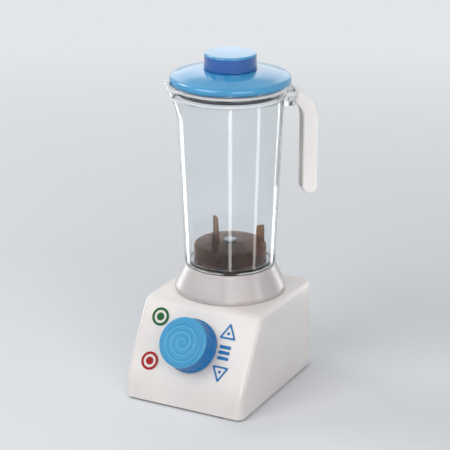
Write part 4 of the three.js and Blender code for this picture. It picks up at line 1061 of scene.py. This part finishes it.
def inner_nodes():
    """Gives the inner pieces their finishes on their own solids."""
    finishes = {
        "gear_bracket": INNER_PLASTIC, "knob_shaft": INNER_PLASTIC,
        "click_wheel": DARK_PLASTIC, "knob_bevel_gear": DARK_PLASTIC,
        "driven_bevel_gear": DARK_PLASTIC, "knob_clip": STEEL, "click_spring": STEEL,
        "collar_screw_1": STEEL, "collar_screw_2": STEEL, "collar_screw_3": STEEL,
    }
    for name, finish in finishes.items():
        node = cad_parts[name]
        node.data.materials.clear()
        node.data.materials.append(finish)


# Stage

def seen(finish):
    """1 on what the camera, gloss and clear pieces see, and 0 on what lights the object."""
    path = finish.tree.nodes.new("ShaderNodeLightPath")
    kinds = ("Is Camera Ray", "Is Glossy Ray", "Is Transmission Ray")
    camera, gloss, through = [Value(finish.tree, path.outputs[kind]) for kind in kinds]
    return camera.math("MINIMUM", camera + gloss + through, 1.0)


def stage():
    """A plain pale floor that fades into the pale room round it."""
    half, depth, fade_reach = 6000, 10, 1.2
    finish = Finish("floor_pale")
    dust = finish.noise(scale=9, detail=3)
    near = finish.node("ShaderNodeBsdfPrincipled", None, {
        "Base Color": finish.blend(dust, tint("E6E8EA"), tint("E2E4E7")),
        "Roughness": 0.9, "Specular IOR Level": 0.0})
    far = finish.node("ShaderNodeEmission", None, {"Color": tint(ROOM_PALE), "Strength": 1.0})
    away = finish.node("ShaderNodeVectorMath", {"operation": "LENGTH"}, {0: finish.place()}, "Value")
    fade = finish.steps(away * (1 / fade_reach), (0.22, 0.0), (1.0, 1.0))
    surface = finish.node("ShaderNodeMixShader", None, {0: fade * seen(finish), 1: near, 2: far})
    floor = prism("floor", box_outline(-half, -half, half, half), FOOT_SOLE - depth, FOOT_SOLE)
    floor.data.materials.append(finish.shown(surface))


def room():
    """A soft light from all round, and the pale room that shows behind the floor."""
    world = bpy.data.worlds.new("pale_room")
    world.use_nodes = True
    bpy.context.scene.world = world
    finish = Finish(tree=world.node_tree)
    sky = finish.node("ShaderNodeBackground", None, {"Color": (0.93, 0.96, 1.0, 1), "Strength": 0.42})
    wall = finish.node("ShaderNodeBackground", None, {"Color": tint(ROOM_PALE), "Strength": 1.0})
    output = finish.tree.nodes.new("ShaderNodeOutputWorld")
    both = finish.node("ShaderNodeMixShader", None, {0: seen(finish), 1: sky, 2: wall})
    finish.tree.links.new(both.socket, output.inputs["Surface"])


def lamp(name, azimuth, elevation, distance, size, power, colour=(1, 1, 1), aim=0.14):
    """A soft area lamp that looks at the blender's axis, at the height given. The size is its
    width and its height, in metres."""
    light = bpy.data.lights.new(name, "AREA")
    light.shape = "RECTANGLE"
    light.size, light.size_y = size
    light.energy = power
    light.color = colour
    thing = bpy.data.objects.new(name, light)
    bpy.context.scene.collection.objects.link(thing)
    turn, tilt = math.radians(azimuth), math.radians(elevation)
    back = Vector((math.sin(turn) * math.cos(tilt), -math.cos(turn) * math.cos(tilt), math.sin(tilt)))
    thing.location = Vector((0, 0, aim)) + back * distance
    thing.rotation_euler = back.to_track_quat("Z", "Y").to_euler()
    return thing


def strip(name, azimuth, width, power):
    """A narrow upright lamp close by, seen only as a line in the jar's gloss."""
    thing = lamp(name, azimuth, elevation=0, distance=0.26, size=(width, 0.2), power=power, aim=0.085)
    thing.visible_camera = False
    thing.visible_diffuse = False
    thing.visible_transmission = False


def lights():
    """Soft lamps by azimuth, elevation and distance, then the strips of the jar's gloss."""
    lamp("key_soft", -24, 42, 1.3, size=(0.8, 0.8), power=6.4, colour=(1.0, 0.985, 0.96))
    lamp("left_soft", -92, 41, 1.2, size=(0.42, 0.32), power=2.4)
    lamp("fill_soft", 50, 26, 1.5, size=(1.0, 1.0), power=7.2, colour=(1.0, 0.98, 0.965))
    lamp("back_soft", 205, 24, 1.5, size=(1.5, 0.7), power=2.7)
    strip("strip_middle", 27, width=0.034, power=0.2)
    strip("strip_right", 86, width=0.034, power=0.16)
    strip("strip_far", 150, width=0.07, power=0.21)
    strip("strip_left", -98, width=0.075, power=0.24)


def camera():
    """The photograph's direction and distance, with a lens long enough to fill the frame."""
    place, aim = Vector((0.6528, -1.2692, 0.6463)), Vector((-0.002, -0.006, 0.1395))
    data = bpy.data.cameras.new("camera")
    data.sensor_width = 36
    data.lens = 140
    data.clip_start, data.clip_end = 0.05, 50
    thing = bpy.data.objects.new("camera", data)
    bpy.context.scene.collection.objects.link(thing)
    thing.location = place
    look = aim - place
    thing.rotation_mode = "QUATERNION"
    thing.rotation_quaternion = look.to_track_quat("-Z", "Y")
    bpy.context.scene.camera = thing
    bpy.context.scene.view_settings.view_transform = "Standard"


base_housing()
base_plate()
feet()
screws()
panel_button("go_button_ring", BUTTON_OFFSET, GREEN_INK, "symbol_green", "go_button")
panel_button("stop_button_ring", -BUTTON_OFFSET, RED_INK, "symbol_red", "stop_button")
panel_arrow("arrow_up_soft", 0, "up_arrow")
panel_arrow("arrow_down_soft", math.pi, "down_arrow")
panel_bars()
knob()
collar()
upper_bush()
drive_shaft()
drive_dog()
jar()
handle()
spindle_bush()
rotor_cup()
rotor_blades()
rotor_spindle()
jar_coupling()
lid()
lid_grip()
inner_nodes()
stage()
room()
lights()
camera()
